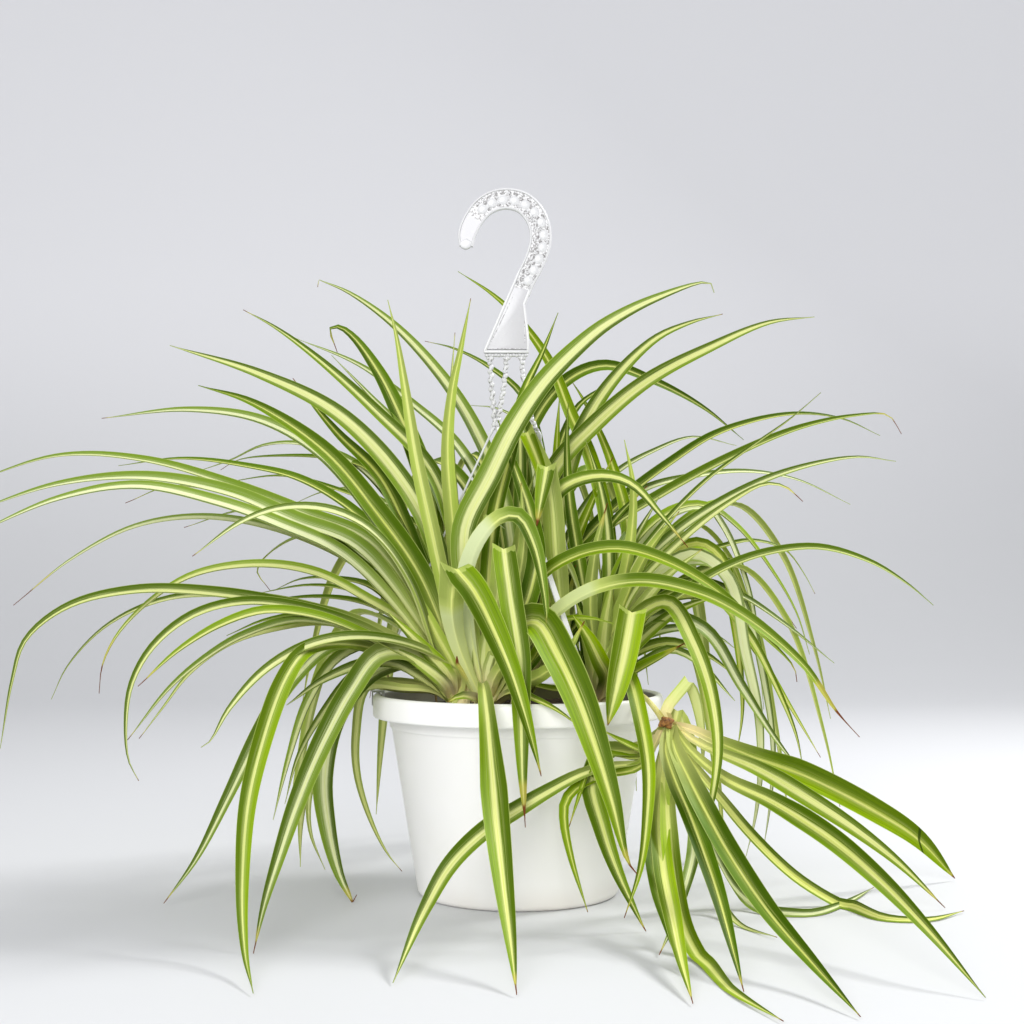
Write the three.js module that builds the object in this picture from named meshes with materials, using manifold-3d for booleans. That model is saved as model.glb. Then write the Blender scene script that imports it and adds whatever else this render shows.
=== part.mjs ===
// Variegated spider plant in a white hanging pot with a clear plastic hanger.
// Millimetres, z up, origin on the table under the middle of the pot, front towards -y.
import * as THREE from "three";
import { mergeVertices } from "three/addons/utils/BufferGeometryUtils.js";
import Module from "manifold-3d";

const wasm = await Module();
wasm.setup();

// Pot
const POT_HEIGHT = 136.5;
const RIM_RADIUS = 100;
const RIM_BOTTOM = 121;
const BODY_RADIUS_TOP = 89;
const STEP_HEIGHT = 114;
const BASE_RADIUS = 69;
const POT_SEGMENTS = 44;
// Soil
const SOIL_TOP = 127;
const SOIL_FLOOR = 4.4;
const SOIL_SEGMENTS = 40;
// Hanger
const HOOK_THICK = 5;
const HOOK_CORE_THICK = 3;
const HOOK_EDGE = 1.9;
const STRAND_RADIUS = 1.7;
const STRAND_WAIST = 1.1;
const STRAND_BEADS = 8;
const STRAP_WIDTH = 3.6;
const STRAP_THICK = 1.3;
const CLIP_WIDTH = 7;
const CLEARANCE = 0.35;
// Leaves
const BLADE_THICK = 0.95;
const BLADE_TIP_WIDTH = 1.5;
const TABLE_REST = 1.7;
const TABLE_GAP = 0.3;
const ROOT_SPREAD = 5;
const SMALLEST_STEP = 0.2;
// The leaves were measured by eye from one viewpoint: each point is where a leaf crosses the upright
// plane through the pot's axis as seen from here, and the depth of the leaf is added separately.
const EYE = new THREE.Vector3(-4.2, -1111, 219);
const UP = new THREE.Vector3(0, 0, 1);

// Growing points: plan position and height of the leaf roots.
const CROWNS = {
  a: new THREE.Vector3(-40, -22, 130),
  b: new THREE.Vector3(-24, -46, 130),
  c: new THREE.Vector3(56, -8, 130),
  d: new THREE.Vector3(2, 42, 130),
  p: new THREE.Vector3(97, -72, 117),
};

// One row per leaf: growing point, width, how far it faces the eye (below 0 shows the underside),
// depth of the tip (TABLE: the tip rests on the table), then points [across, up, depth if given].
const TABLE = "table";
const LEAVES = [
  // Left, rising
  ["a", 13, 0.75, 40, [[-44, 165], [-58, 240], [-82, 285], [-125, 330], [-180, 358], [-243, 378]]],
  ["a", 14, 0.7, -60, [[-48, 165], [-66, 215], [-98, 262], [-135, 305], [-185, 338], [-223, 350]]],
  ["a", 11, 0.5, 10, [[-50, 165], [-75, 215], [-105, 265], [-140, 304], [-180, 326], [-230, 333],
    [-290, 327]]],
  ["a", 10, 0.7, 30, [[-42, 170], [-44, 240], [-60, 290], [-100, 333], [-140, 369], [-170, 391],
    [-192, 403]]],
  ["a", 7, 0.6, 70, [[-36, 170], [-47, 250], [-77, 314], [-105, 345], [-130, 371]]],
  ["d", 9, 0.5, 150, [[-8, 170], [-18, 262], [-42, 308], [-72, 336], [-110, 364], [-155, 383]]],
  ["a", 15, 0.7, 90, [[-44, 170], [-62, 260], [-88, 330], [-110, 373], [-125, 391], [-131, 390],
    [-126, 373]]],
  ["d", 11, 0.7, 90, [[0, 180], [-10, 270], [-28, 316], [-50, 352], [-85, 391], [-118, 415],
    [-139, 424], [-140, 419]]],
  ["a", 14, 0.9, -70, [[-43, 165], [-58, 240], [-71, 300], [-79, 350], [-85, 385], [-91, 410]]],
  ["a", 11, 0.9, -30, [[-37, 170], [-45, 250], [-49, 305], [-46, 345], [-40, 375], [-33, 411]]],
  ["a", 5, 0.8, -9, [[-34, 180], [-44, 270], [-47, 340], [-44, 387]]],
  ["a", 11, 0.7, 80, [[-50, 165], [-70, 230], [-95, 285], [-125, 316], [-143, 337], [-157, 355]]],
  // Left, long arches
  ["a", 13, 0.5, -10, [[-55, 165], [-100, 240], [-150, 262], [-200, 281], [-260, 298], [-320, 301],
    [-385, 281]]],
  ["a", 14, 0.6, -50, [[-56, 163], [-110, 237], [-155, 256], [-200, 275], [-260, 286], [-320, 281],
    [-380, 262]]],
  ["a", 14, 0.6, -90, [[-58, 160], [-118, 230], [-165, 253], [-210, 269], [-265, 280], [-320, 271],
    [-385, 243]]],
  ["a", 11, 0.5, 40, [[-52, 165], [-75, 215], [-108, 257], [-150, 284], [-190, 294], [-235, 299],
    [-278, 294]]],
  ["a", 9, 0.5, 110, [[-44, 165], [-70, 240], [-110, 293], [-150, 309], [-178, 308], [-200, 298],
    [-226, 289]]],
  ["a", 9, 0.4, 98, [[-46, 165], [-78, 255], [-105, 292], [-130, 299], [-160, 301], [-195, 298],
    [-207, 291]]],
  ["d", 8, 0.4, 130, [[-20, 170], [-60, 245], [-130, 279], [-165, 287], [-206, 282]]],
  ["a", 10, 0.5, -30, [[-60, 160], [-78, 193], [-110, 223], [-160, 247], [-215, 258], [-265, 252],
    [-310, 229], [-350, 197]]],
  ["a", 8, 0.4, 18, [[-50, 165], [-90, 220], [-150, 256], [-190, 263], [-232, 251]]],
  ["a", 11, 0.6, -120, [[-56, 160], [-75, 213], [-100, 247], [-127, 262], [-160, 265], [-190, 256],
    [-226, 231]]],
  ["d", 8, 0.4, 175, [[-20, 170], [-60, 240], [-110, 277], [-135, 276], [-157, 267]]],
  ["a", 6, 0.4, 20, [[-56, 165], [-120, 237], [-190, 270], [-240, 280], [-273, 268]]],
  // Left, middle
  ["a", 13, 0.5, -60, [[-58, 152], [-82, 171], [-115, 186], [-160, 197], [-210, 205], [-265, 207],
    [-312, 196],
    [-341, 173], [-350, 145], [-358, 98]]],
  ["a", 11, 0.5, -20, [[-60, 160], [-78, 184], [-105, 201], [-140, 219], [-180, 225], [-225, 218],
    [-255, 200],
    [-278, 176], [-288, 155], [-290, 136]]],
  ["a", 10, 0.5, 25, [[-56, 150], [-95, 179], [-150, 197], [-200, 204], [-245, 201], [-285, 183],
    [-312, 155], [-323, 132]]],
  ["a", 11, 0.5, -105, [[-58, 150], [-100, 178], [-150, 195], [-190, 199], [-225, 190], [-252, 169],
    [-267, 143],
    [-271, 115], [-269, 90], [-262, 76]]],
  ["a", 12, 0.5, -135, [[-58, 148], [-95, 171], [-138, 189], [-175, 193], [-205, 184], [-235, 166],
    [-263, 141]]],
  ["a", 9, 0.4, -60, [[-58, 150], [-98, 174], [-145, 190], [-175, 187], [-202, 176]]],
  ["a", 10, 0.5, -95, [[-60, 148], [-100, 174], [-150, 187], [-188, 177], [-213, 163], [-240, 141],
    [-270, 104]]],
  ["a", 9, 0.5, -40, [[-56, 147], [-90, 169], [-130, 184], [-165, 181], [-200, 170], [-228, 149],
    [-245, 127], [-262, 105]]],
  ["a", 11, 0.5, -150, [[-38, 145], [-52, 159], [-80, 171], [-115, 175], [-145, 169], [-175, 152],
    [-200, 125],
    [-213, 103], [-219, 99]]],
  ["a", 8, 0.5, 110, [[-55, 165], [-95, 222], [-150, 245], [-181, 222], [-172, 207]]],
  ["a", 9, 0.4, 60, [[-56, 155], [-80, 190], [-102, 210], [-130, 216], [-152, 215], [-170, 207]]],
  ["d", 8, 0.4, 100, [[-30, 160], [-80, 190], [-115, 207], [-145, 211], [-182, 205]]],
  ["d", 9, 0.4, 70, [[-30, 155], [-72, 180], [-105, 198], [-140, 203], [-190, 198]]],
  // Left, hanging to the table
  ["a", 14, 0.6, TABLE, [[-58, 148], [-82, 171], [-118, 181], [-147, 165], [-165, 125], [-180, 80],
    [-187, 20],
    [-186, -30], [-182, -69]]],
  ["a", 12, 0.6, TABLE, [[-58, 145], [-88, 163], [-125, 171], [-155, 147], [-178, 110], [-200, 65],
    [-222, 22], [-244, -8]]],
  ["a", 14, 0.7, TABLE, [[-54, 146], [-74, 163], [-96, 163], [-115, 139], [-135, 102], [-152, 62],
    [-166, 20],
    [-175, -10], [-182, -42]]],
  ["a", 10, 0.5, -20, [[-52, 148], [-70, 166], [-98, 171], [-125, 160], [-145, 130], [-158, 92],
    [-169, 49]]],
  ["a", 9, 0.5, 10, [[-50, 148], [-75, 162], [-110, 151], [-135, 122], [-152, 92], [-161, 60]]],
  ["a", 9, 0.5, TABLE, [[-58, 137, -20], [-80, 139, -22], [-104, 141, -18], [-121, 130, -5],
    [-136, 104, 20],
    [-146, 74, 45], [-150, 45, 66], [-150, 17]]],
  ["a", 11, 0.6, -42, [[-52, 146], [-70, 158], [-100, 151], [-125, 120], [-134, 80], [-131, 45],
    [-123, 12],
    [-114, -7], [-111, -2]]],
  ["a", 7, 0.6, 30, [[-46, 150], [-72, 162], [-105, 149], [-132, 110], [-144, 65], [-143, 40],
    [-133, 15]]],
  ["a", 10, 0.5, -60, [[-52, 136], [-68, 147], [-85, 156], [-106, 156], [-135, 145], [-160, 128]]],
  ["a", 6, 0.6, 70, [[-56, 139, 0], [-84, 144, 14], [-105, 140, 24], [-112, 108, 40], [-111, 80, 52],
    [-102, 50, 62], [-90, 26, 68], [-80, 14]]],
  // Middle, rising
  ["c", 10, 0.7, 140, [[62, 180], [62, 250], [50, 300], [37, 329], [22, 366], [0, 397], [-18, 414],
    [-42, 430]]],
  ["b", 10, 0.8, -50, [[-22, 170], [-17, 255], [-5, 304], [4, 345], [17, 373], [28, 401]]],
  ["d", 8, 0.5, 130, [[10, 180], [18, 280], [4, 341], [-20, 363], [-45, 376], [-65, 381]]],
  ["d", 7, 0.4, 100, [[8, 180], [12, 280], [0, 325], [-15, 334], [-33, 336]]],
  ["b", 15, 0.75, -75, [[-28, 170], [-37, 240], [-25, 290], [0, 335], [40, 376], [90, 409], [134, 423],
    [137, 415]]],
  ["a", 11, 0.8, -40, [[-30, 170], [-27, 230], [-20, 275], [-10, 312]]],
  ["d", 15, 0.8, 0, [[8, 170], [4, 260], [6, 316], [12, 300], [18, 287]]],
  ["c", 16, 0.8, -55, [[46, 160], [40, 240], [27, 291], [19, 270], [13, 250]]],
  ["d", 13, 0.75, 40, [[8, 170], [12, 255], [26, 292], [52, 321], [90, 353], [135, 377], [175, 394],
    [207, 398]]],
  ["d", 13, 0.75, 60, [[14, 170], [28, 260], [42, 312], [62, 348], [95, 382], [120, 394], [143, 400]]],
  ["d", 11, 0.7, 150, [[2, 180], [-4, 260], [8, 318], [32, 352], [60, 364], [95, 353], [130, 334],
    [157, 312]]],
  ["c", 9, 0.7, 120, [[70, 180], [76, 252], [67, 290], [55, 321], [45, 341], [36, 355]]],
  ["d", 9, 0.7, 110, [[10, 180], [20, 270], [40, 333], [60, 349], [75, 358]]],
  ["d", 10, 0.8, 60, [[16, 180], [26, 260], [27, 310], [29, 343]]],
  ["c", 9, 0.8, 40, [[50, 180], [36, 270], [34, 310], [35, 338]]],
  ["c", 9, 0.8, 30, [[62, 180], [62, 250], [55, 288], [47, 312]]],
  ["c", 8, 0.8, -16, [[66, 180], [78, 240], [80, 280], [74, 312]]],
  ["d", 7, 0.4, 150, [[18, 170], [38, 250], [66, 287], [96, 305], [122, 314], [152, 308]]],
  // Right, long arches
  ["d", 11, 0.5, 112, [[14, 165], [38, 232], [70, 268], [106, 296], [140, 317], [190, 330], [225, 327],
    [252, 315]]],
  ["d", 12, 0.6, 10, [[16, 160], [30, 213], [60, 248], [100, 274], [150, 301], [195, 320], [235, 329],
    [258, 329], [267, 316]]],
  ["c", 8, 0.6, -20, [[62, 165], [78, 222], [98, 250], [130, 283], [162, 307], [190, 327], [211, 345]]],
  ["c", 11, 0.6, -25, [[64, 165], [76, 212], [102, 241], [142, 269], [185, 289], [235, 300], [263, 297]]],
  ["d", 10, 0.5, 120, [[16, 165], [40, 235], [85, 276], [125, 287], [160, 290], [195, 284], [231, 267]]],
  ["c", 11, 0.6, -65, [[64, 160], [80, 205], [112, 240], [146, 267], [172, 281], [186, 279], [198, 269]]],
  ["c", 7, 0.5, 70, [[64, 160], [85, 205], [115, 228], [142, 238], [162, 242], [185, 236], [198, 220],
    [206, 205]]],
  ["c", 12, 0.6, -70, [[62, 155], [80, 182], [112, 204], [146, 224], [176, 234], [210, 237], [245, 227],
    [270, 212], [288, 197]]],
  ["d", 11, 0.6, 45, [[4, 170], [12, 245], [30, 278], [56, 287], [78, 282], [100, 259], [118, 237]]],
  ["b", 12, 0.6, -95, [[-12, 155], [12, 212], [38, 231], [70, 237], [105, 227], [140, 206], [166, 180],
    [191, 154], [193, 144]]],
  ["b", 13, 0.6, -150, [[-10, 145], [16, 182], [48, 206], [85, 214], [125, 206], [152, 193], [178, 174],
    [200, 153],
    [220, 124], [236, 106]]],
  ["c", 12, 0.5, 40, [[66, 155], [88, 195], [122, 213], [152, 205], [185, 184], [219, 157]]],
  ["c", 10, 0.5, 90, [[64, 160], [86, 210], [122, 231], [150, 226], [172, 211], [193, 181]]],
  ["c", 10, 0.5, 10, [[58, 160], [70, 222], [100, 259], [128, 267], [152, 252], [175, 223], [193, 192],
    [202, 163]]],
  ["c", 11, 0.7, 55, [[60, 160], [74, 222], [104, 259], [130, 265], [143, 250], [154, 225], [162, 198],
    [167, 160], [170, 125]]],
  // Right, hanging
  ["c", 14, 0.7, -110, [[64, 152, -14], [80, 187, -30], [103, 199, -48], [121, 172, -78],
    [133, 138, -100],
    [138, 100, -113], [135, 70, -116], [130, 48, -114], [126, 24]]],
  ["c", 9, 0.7, 32, [[64, 155], [86, 214], [124, 240], [142, 228], [149, 190], [154, 150], [155, 122],
    [151, 94]]],
  ["c", 10, 0.7, 8, [[64, 152], [86, 208], [122, 232], [146, 215], [157, 165], [166, 122], [167, 80],
    [163, 48], [157, 24]]],
  ["c", 9, 0.6, 60, [[62, 155], [90, 216], [136, 226], [159, 190], [170, 145], [176, 100], [174, 62],
    [169, 28]]],
  ["c", 9, 0.6, 22, [[66, 152], [92, 196], [128, 208], [157, 180], [178, 142], [192, 108], [197, 84]]],
  ["c", 7, 0.6, 75, [[64, 150], [90, 195], [135, 202], [165, 165], [190, 124], [209, 92]]],
  ["c", 10, 0.6, 0, [[66, 150], [92, 188], [128, 181], [155, 140], [177, 106], [197, 80]]],
  ["c", 8, 0.5, 90, [[62, 150], [82, 172], [110, 181], [135, 177], [152, 166]]],
  ["c", 9, 0.5, 40, [[62, 148], [80, 163], [105, 171], [130, 163], [152, 147]]],
  ["c", 8, 0.5, -20, [[64, 144], [84, 155], [105, 166], [124, 158], [150, 131]]],
  ["c", 9, 0.5, -35, [[64, 140], [80, 151], [100, 162], [116, 171]]],
  // Front
  ["b", 15, 0.4, TABLE, [[-25, 143, -68], [-23, 135, -108], [-19, 95, -132], [-15, 50, -165],
    [-10, 5, -205],
    [-5, -35, -240], [-1, -70]]],
  ["b", 16, 0.7, -128, [[-16, 190, -60], [-10, 236, -78], [-5, 200, -98], [1, 160, -110], [2, 120, -118],
    [3, 80, -124], [5, 44]]],
  ["b", 19, 0.75, -123, [[-42, 175, -60], [-44, 208, -74], [-36, 223, -88], [-24, 195, -104],
    [-8, 160, -114],
    [3, 128, -120], [12, 95, -122], [16, 79]]],
  ["b", 11, 0.6, -56, [[-30, 175], [-35, 228], [-21, 259], [-9, 250]]],
  ["b", 13, 0.6, -100, [[-32, 170], [-35, 218], [-24, 247], [-5, 260], [8, 240], [15, 208], [20, 174]]],
  ["b", 18, 0.6, -154, [[-10, 152, -58], [0, 182, -80], [13, 186, -96], [28, 162, -112], [42, 132, -126],
    [54, 98, -140], [65, 62, -148], [76, 20, -153], [82, 12]]],
  ["d", 9, 0.6, -10, [[6, 170], [12, 218], [22, 236], [34, 226], [43, 204], [49, 186]]],
  ["c", 15, 0.8, -100, [[66, 155, -40], [76, 178, -62], [79, 192, -76], [73, 160, -92], [62, 114]]],
  ["c", 10, 0.6, -45, [[58, 150], [56, 168], [49, 180], [40, 189]]],
  ["c", 9, 0.6, -132, [[68, 142, -42], [77, 147, -78], [84, 122, -108], [90, 85, -126], [89, 50, -136],
    [84, 15, -138], [73, -18]]],
  ["b", 7, 0.5, -66, [[4, 152], [30, 186], [50, 188], [67, 184]]],
  ["b", 5, 0.5, -112, [[-6, 137, -70], [12, 132, -98], [28, 124, -108], [44, 112]]],
  ["c", 6, 0.4, -30, [[44, 137], [24, 139], [4, 144], [-12, 150]]],
];

// The young plant on the runner.
const PLANTLET_LEAVES = [
  ["p", 11, 0.5, TABLE, [[86, 90, -88], [65, 86, -98], [45, 81, -105], [20, 68, -113], [0, 56, -118],
    [-22, 42, -127], [-45, 20, -150], [-64, -12, -190], [-86, -62]]],
  ["p", 7, 0.5, -122, [[84, 86, -92], [60, 80, -99], [43, 73, -104], [33, 62, -108], [32, 48, -110],
    [37, 22, -114],
    [48, -14]]],
  ["p", 5, 0.5, -112, [[84, 92, -86], [62, 94, -94], [49, 84, -102], [42, 65, -108], [35, 44]]],
  ["p", 12, 0.5, -124, [[84, 97, -80], [60, 95, -92], [51, 76, -103], [58, 45, -110], [68, 15, -118],
    [88, -28]]],
  ["p", 16, 0.8, TABLE, [[118, 112, -74], [135, 103, -66], [162, 93, -48], [200, 79, -24], [245, 56, 4],
    [276, 36, 22], [301, 9]]],
  ["p", 14, 0.8, TABLE, [[118, 106, -76], [135, 97, -74], [166, 84, -68], [200, 64, -62], [235, 41, -58],
    [263, 19, -56], [294, -11]]],
  ["p", 15, 0.7, TABLE, [[118, 98, -84], [142, 78, -98], [175, 62, -118], [212, 39, -150], [248, 9, -195],
    [282, -26, -240], [321, -72]]],
  ["p", 9, 0.5, TABLE, [[116, 94, -66], [136, 68, -58], [162, 37, -50], [192, 9, -46], [222, -9, TABLE],
    [250, -18, TABLE], [281, -19, TABLE], [307, -13]]],
  ["p", 14, 0.6, TABLE, [[102, 98, -100], [108, 78, -118], [119, 52, -142], [130, 22, -172],
    [139, -6, -202],
    [147, -36, -234], [155, -68]]],
  ["p", 16, 0.6, TABLE, [[108, 100, -98], [118, 78, -124], [134, 47, -152], [151, 18, -184],
    [173, -14, -220],
    [202, -48, -262], [235, -85]]],
  ["p", 12, 0.6, TABLE, [[101, 84, -98], [98, 50, -112], [100, 18, -142], [106, -15, -188],
    [112, -45, -240], [120, -76]]],
  ["p", 10, 0.5, TABLE, [[97, 76, -90], [93, 38, -106], [96, 5, -144], [104, -25, -188], [113, -55]]],
  ["p", 10, 0.5, TABLE, [[103, 62, -108], [107, 12, -142], [114, -24, -172], [128, -50, -204],
    [148, -68, TABLE],
    [182, -88]]],
  ["p", 8, 0.5, TABLE, [[112, 84, -72], [121, 55, -92], [121, 28, -118], [114, 0, -146],
    [105, -26, -172], [97, -43]]],
  ["p", 7, 0.5, TABLE, [[114, 84, -62], [130, 40, -52], [150, 2, -52], [172, -14, TABLE],
    [200, -15, TABLE],
    [222, -9, TABLE], [245, 3]]],
  ["p", 6, 0.5, TABLE, [[110, 80, -64], [122, 36, -62], [136, 0, -70], [152, -22, TABLE], [178, -31]]],
  ["p", 7, 0.5, -98, [[90, 97, -84], [74, 102, -92], [58, 111]]],
  ["p", 10, 0.6, -50, [[104, 128, -70], [110, 138, -68], [118, 143, -66], [125, 128, -60],
    [130, 106, -55], [131, 84]]],
  ["p", 9, 0.6, -44, [[110, 124], [115, 112], [120, 88], [123, 60]]],
];

// Leaves at the back that the viewpoint hides: growing point, heading in degrees (0 = +x, 90 = away
// from the viewer), reach, top height, height of the tip, width.
const BACK_LEAVES = [
  ["d", 96, 205, 285, 60, 13],
  ["d", 70, 225, 262, 40, 12],
  ["d", 118, 220, 270, 50, 13],
  ["d", 84, 170, 330, 170, 11],
  ["d", 52, 190, 300, 130, 12],
  ["d", 134, 195, 305, 120, 12],
  ["d", 104, 250, 225, 20, 13],
  ["d", 76, 255, 215, 24, 12],
  ["d", 60, 150, 350, 250, 10],
  ["d", 122, 140, 352, 262, 10],
  ["d", 90, 110, 372, 300, 11],
  ["a", 112, 215, 215, 30, 12],
  ["a", 128, 235, 245, 60, 13],
  ["a", 135, 255, 248, 100, 12],
  ["a", 138, 205, 190, 8, 11],
  ["a", 156, 235, 262, 90, 11],
  ["a", 105, 175, 290, 150, 11],
  ["c", 78, 215, 235, 45, 12],
  ["c", 60, 235, 255, 60, 13],
  ["c", 44, 245, 235, 30, 12],
  ["c", 30, 235, 270, 110, 12],
  ["c", 52, 190, 195, 8, 11],
  ["c", 20, 215, 225, 50, 11],
  ["c", 78, 175, 236, 130, 11],
  ["c", 66, 150, 325, 220, 10],
  ["c", 36, 180, 310, 190, 10],
];

const group = new THREE.Group();

function material(color, roughness, extra = {}) {
  return new THREE.MeshStandardMaterial({ color, roughness, metalness: 0, ...extra });
}

// A closed body as a solid for joining and cutting.
function solid(geometry) {
  const bare = geometry.clone();
  bare.deleteAttribute("normal");
  bare.deleteAttribute("uv");
  const merged = mergeVertices(bare, 1e-4);
  const mesh = {
    numProp: 3,
    vertProperties: new Float32Array(merged.attributes.position.array),
    triVerts: new Uint32Array(merged.index.array),
  };
  let made = new wasm.Manifold(new wasm.Mesh(mesh));
  if (made.volume() < 0) {
    const turned = mesh.triVerts;
    for (let i = 0; i < turned.length; i += 3) {
      [turned[i], turned[i + 1]] = [turned[i + 1], turned[i]];
    }
    made = new wasm.Manifold(new wasm.Mesh(mesh));
  }
  return made;
}

function addPart(name, made, look) {
  const mesh = made.getMesh();
  const geometry = new THREE.BufferGeometry();
  const positions = [];
  for (let i = 0; i < mesh.triVerts.length; i++) {
    const at = mesh.triVerts[i] * mesh.numProp;
    positions.push(mesh.vertProperties[at], mesh.vertProperties[at + 1], mesh.vertProperties[at + 2]);
  }
  geometry.setAttribute("position", new THREE.Float32BufferAttribute(positions, 3));
  geometry.computeVertexNormals();
  const part = new THREE.Mesh(geometry, look);
  part.name = name;
  group.add(part);
}

// One outer skin: pockets shut in between crossing leaves are filled.
function joined(list) {
  const whole = list.reduce((sum, next) => sum.add(next)).asOriginal().simplify(SMALLEST_STEP);
  const skins = whole.decompose().filter((piece) => piece.volume() > 1);
  return skins.reduce((sum, next) => sum.add(next)).asOriginal().simplify(SMALLEST_STEP);
}

// A skin over rings of the same number of points, closed at both ends.
function loft(rings) {
  const count = rings[0].length;
  const positions = [];
  const put = (a, b, c) => positions.push(a.x, a.y, a.z, b.x, b.y, b.z, c.x, c.y, c.z);
  for (let r = 0; r + 1 < rings.length; r++) {
    for (let i = 0; i < count; i++) {
      const j = (i + 1) % count;
      put(rings[r][i], rings[r][j], rings[r + 1][j]);
      put(rings[r][i], rings[r + 1][j], rings[r + 1][i]);
    }
  }
  const first = rings[0];
  const last = rings[rings.length - 1];
  for (let i = 0; i + 1 < count / 2; i++) {
    const far = count - 1 - i;
    put(first[i], first[far], first[far - 1]);
    put(first[i], first[far - 1], first[i + 1]);
    put(last[i], last[i + 1], last[far - 1]);
    put(last[i], last[far - 1], last[far]);
  }
  const geometry = new THREE.BufferGeometry();
  geometry.setAttribute("position", new THREE.Float32BufferAttribute(positions, 3));
  return solid(geometry);
}

function lathe(profile, segments) {
  const points = profile.map(([radius, height]) => new THREE.Vector2(radius, height));
  const turned = new THREE.LatheGeometry(points, segments);
  turned.rotateX(Math.PI / 2);
  return solid(turned);
}

// A flat outline in the x-z plane given a thickness in y, centred on the given depth.
function plate(outline, thick, depth = 0) {
  const shape = new THREE.Shape(outline.map(([x, z]) => new THREE.Vector2(x, z)));
  const made = new THREE.ExtrudeGeometry(shape, { depth: thick, bevelEnabled: false });
  made.rotateX(Math.PI / 2);
  made.translate(0, depth + thick / 2, 0);
  return solid(made);
}

// The place in space of a sighted point at the given depth.
function sighted(across, up, depth) {
  const seen = new THREE.Vector3(across, 0, up);
  return seen.sub(EYE).multiplyScalar((depth - EYE.y) / -EYE.y).add(EYE);
}

// The depth at which a sighted point lies on the table.
function tableDepth(up) {
  return -EYE.y * ((EYE.z - TABLE_REST) / (EYE.z - up) - 1);
}

// The line a leaf follows, from its growing point to its tip.
function leafLine([crownName, , , tipDepth, points]) {
  const crown = CROWNS[crownName];
  const scale = -EYE.y / (crown.y - EYE.y);
  const start = [
    EYE.x + (crown.x - EYE.x) * scale,
    EYE.z + (crown.z - EYE.z) * scale,
  ];
  const seen = [start, ...points];
  const along = [0];
  for (let i = 1; i < seen.length; i++) {
    const step = Math.hypot(seen[i][0] - seen[i - 1][0], seen[i][1] - seen[i - 1][1]);
    along.push(along[i - 1] + step);
  }
  const last = seen.length - 1;
  const known = seen.map(([, up, depth], i) => {
    if (i === 0) return crown.y;
    const given = i === last ? tipDepth : depth;
    return given === TABLE ? tableDepth(up) : given;
  });
  const tip = sighted(points[last - 1][0], points[last - 1][1], known[last]);
  return seen.map(([across, up], i) => {
    if (i === 0) return rootPlace(crown, tip, last);
    if (known[i] !== undefined) return sighted(across, up, known[i]);
    let before = i;
    while (known[before] === undefined) before--;
    let after = i;
    while (known[after] === undefined) after++;
    const share = (along[i] - along[before]) / (along[after] - along[before]);
    const eased = before === 0 && after === last ? share ** 1.15 : share;
    return sighted(across, up, known[before] + (known[after] - known[before]) * eased);
  });
}

// Leaves leave the stock side by side, each from the side it leans to.
function rootPlace(crown, tip, stagger) {
  const out = tip.clone().sub(crown).setZ(0).normalize();
  return crown.clone().addScaledVector(out, ROOT_SPREAD).setZ(crown.z + 1.3 * (stagger % 4));
}

// The line of a leaf given by heading, reach and heights.
function backLine([crownName, heading, reach, top, tip]) {
  const crown = CROWNS[crownName];
  const angle = THREE.MathUtils.degToRad(heading);
  const out = new THREE.Vector3(Math.cos(angle), Math.sin(angle), 0);
  const rise = top - crown.z;
  const drop = top - tip;
  const steps = [[0, 0], [0.12, 0.5], [0.3, 0.88], [0.5, 1], [0.72, 1], [0.9, 1], [1, 1]];
  return steps.map(([share, up], i) => {
    const past = Math.max(0, (share - 0.5) / 0.5);
    const height = crown.z + rise * up - drop * past ** 1.8;
    return crown.clone().addScaledVector(out, reach * share * (1 - 0.12 * past)).setZ(Math.max(height, 2));
  });
}

// Width of a blade at a share of its length: narrow root, long point.
function bladeWidth(width, share) {
  const root = Math.min(1, 0.34 + 2.4 * share);
  const point = Math.max(0, (share - 0.4) / 0.6);
  return Math.max(BLADE_TIP_WIDTH, width * root * (1 - point ** 1.8));
}

// A flat blade along a line.
function blade(line, width, facing) {
  const last = line.length - 1;
  const lengths = [0];
  for (let i = 1; i <= last; i++) lengths.push(lengths[i - 1] + line[i].distanceTo(line[i - 1]));
  const tangents = line.map((point, i) => {
    const ahead = line[Math.min(i + 1, last)];
    const behind = line[Math.max(i - 1, 0)];
    return ahead.clone().sub(behind).normalize();
  });
  const heading = line[last].clone().sub(line[0]).setZ(0).normalize();
  const level = new THREE.Vector3().crossVectors(heading, UP);
  const turned = tangents.map((tangent, i) => {
    const toEye = EYE.clone().sub(line[i]).normalize();
    return new THREE.Vector3().crossVectors(tangent, toEye).normalize();
  });
  for (let i = 1; i <= last; i++) {
    if (turned[i].dot(turned[i - 1]) < 0) turned[i].negate();
  }
  const agreement = turned.reduce((sum, side) => sum + side.dot(level), 0) / turned.length;
  const shown = Math.sign(facing) * eyeSide(tangents, turned, line);
  const sign = Math.abs(agreement) > 0.25 ? Math.sign(agreement) : shown;
  const rings = line.map((point, i) => {
    const side = level.clone().multiplyScalar(1 - Math.abs(facing));
    side.addScaledVector(turned[i], Math.abs(facing) * sign);
    side.addScaledVector(tangents[i], -side.dot(tangents[i])).normalize();
    const inner = new THREE.Vector3().crossVectors(side, tangents[i]).normalize();
    const share = lengths[i] / lengths[last];
    const wide = bladeWidth(width, share);
    const at = (across, up) => point.clone().addScaledVector(side, across).addScaledVector(inner, up);
    const ring = [
      at(-wide / 2, 0),
      at(wide / 2, 0),
      at(wide / 2, -BLADE_THICK),
      at(-wide / 2, -BLADE_THICK),
    ];
    const lift = Math.max(0, TABLE_GAP - Math.min(...ring.map((corner) => corner.z)));
    ring.forEach((corner) => corner.setZ(corner.z + lift));
    return ring;
  });
  return loft(rings);
}

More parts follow.
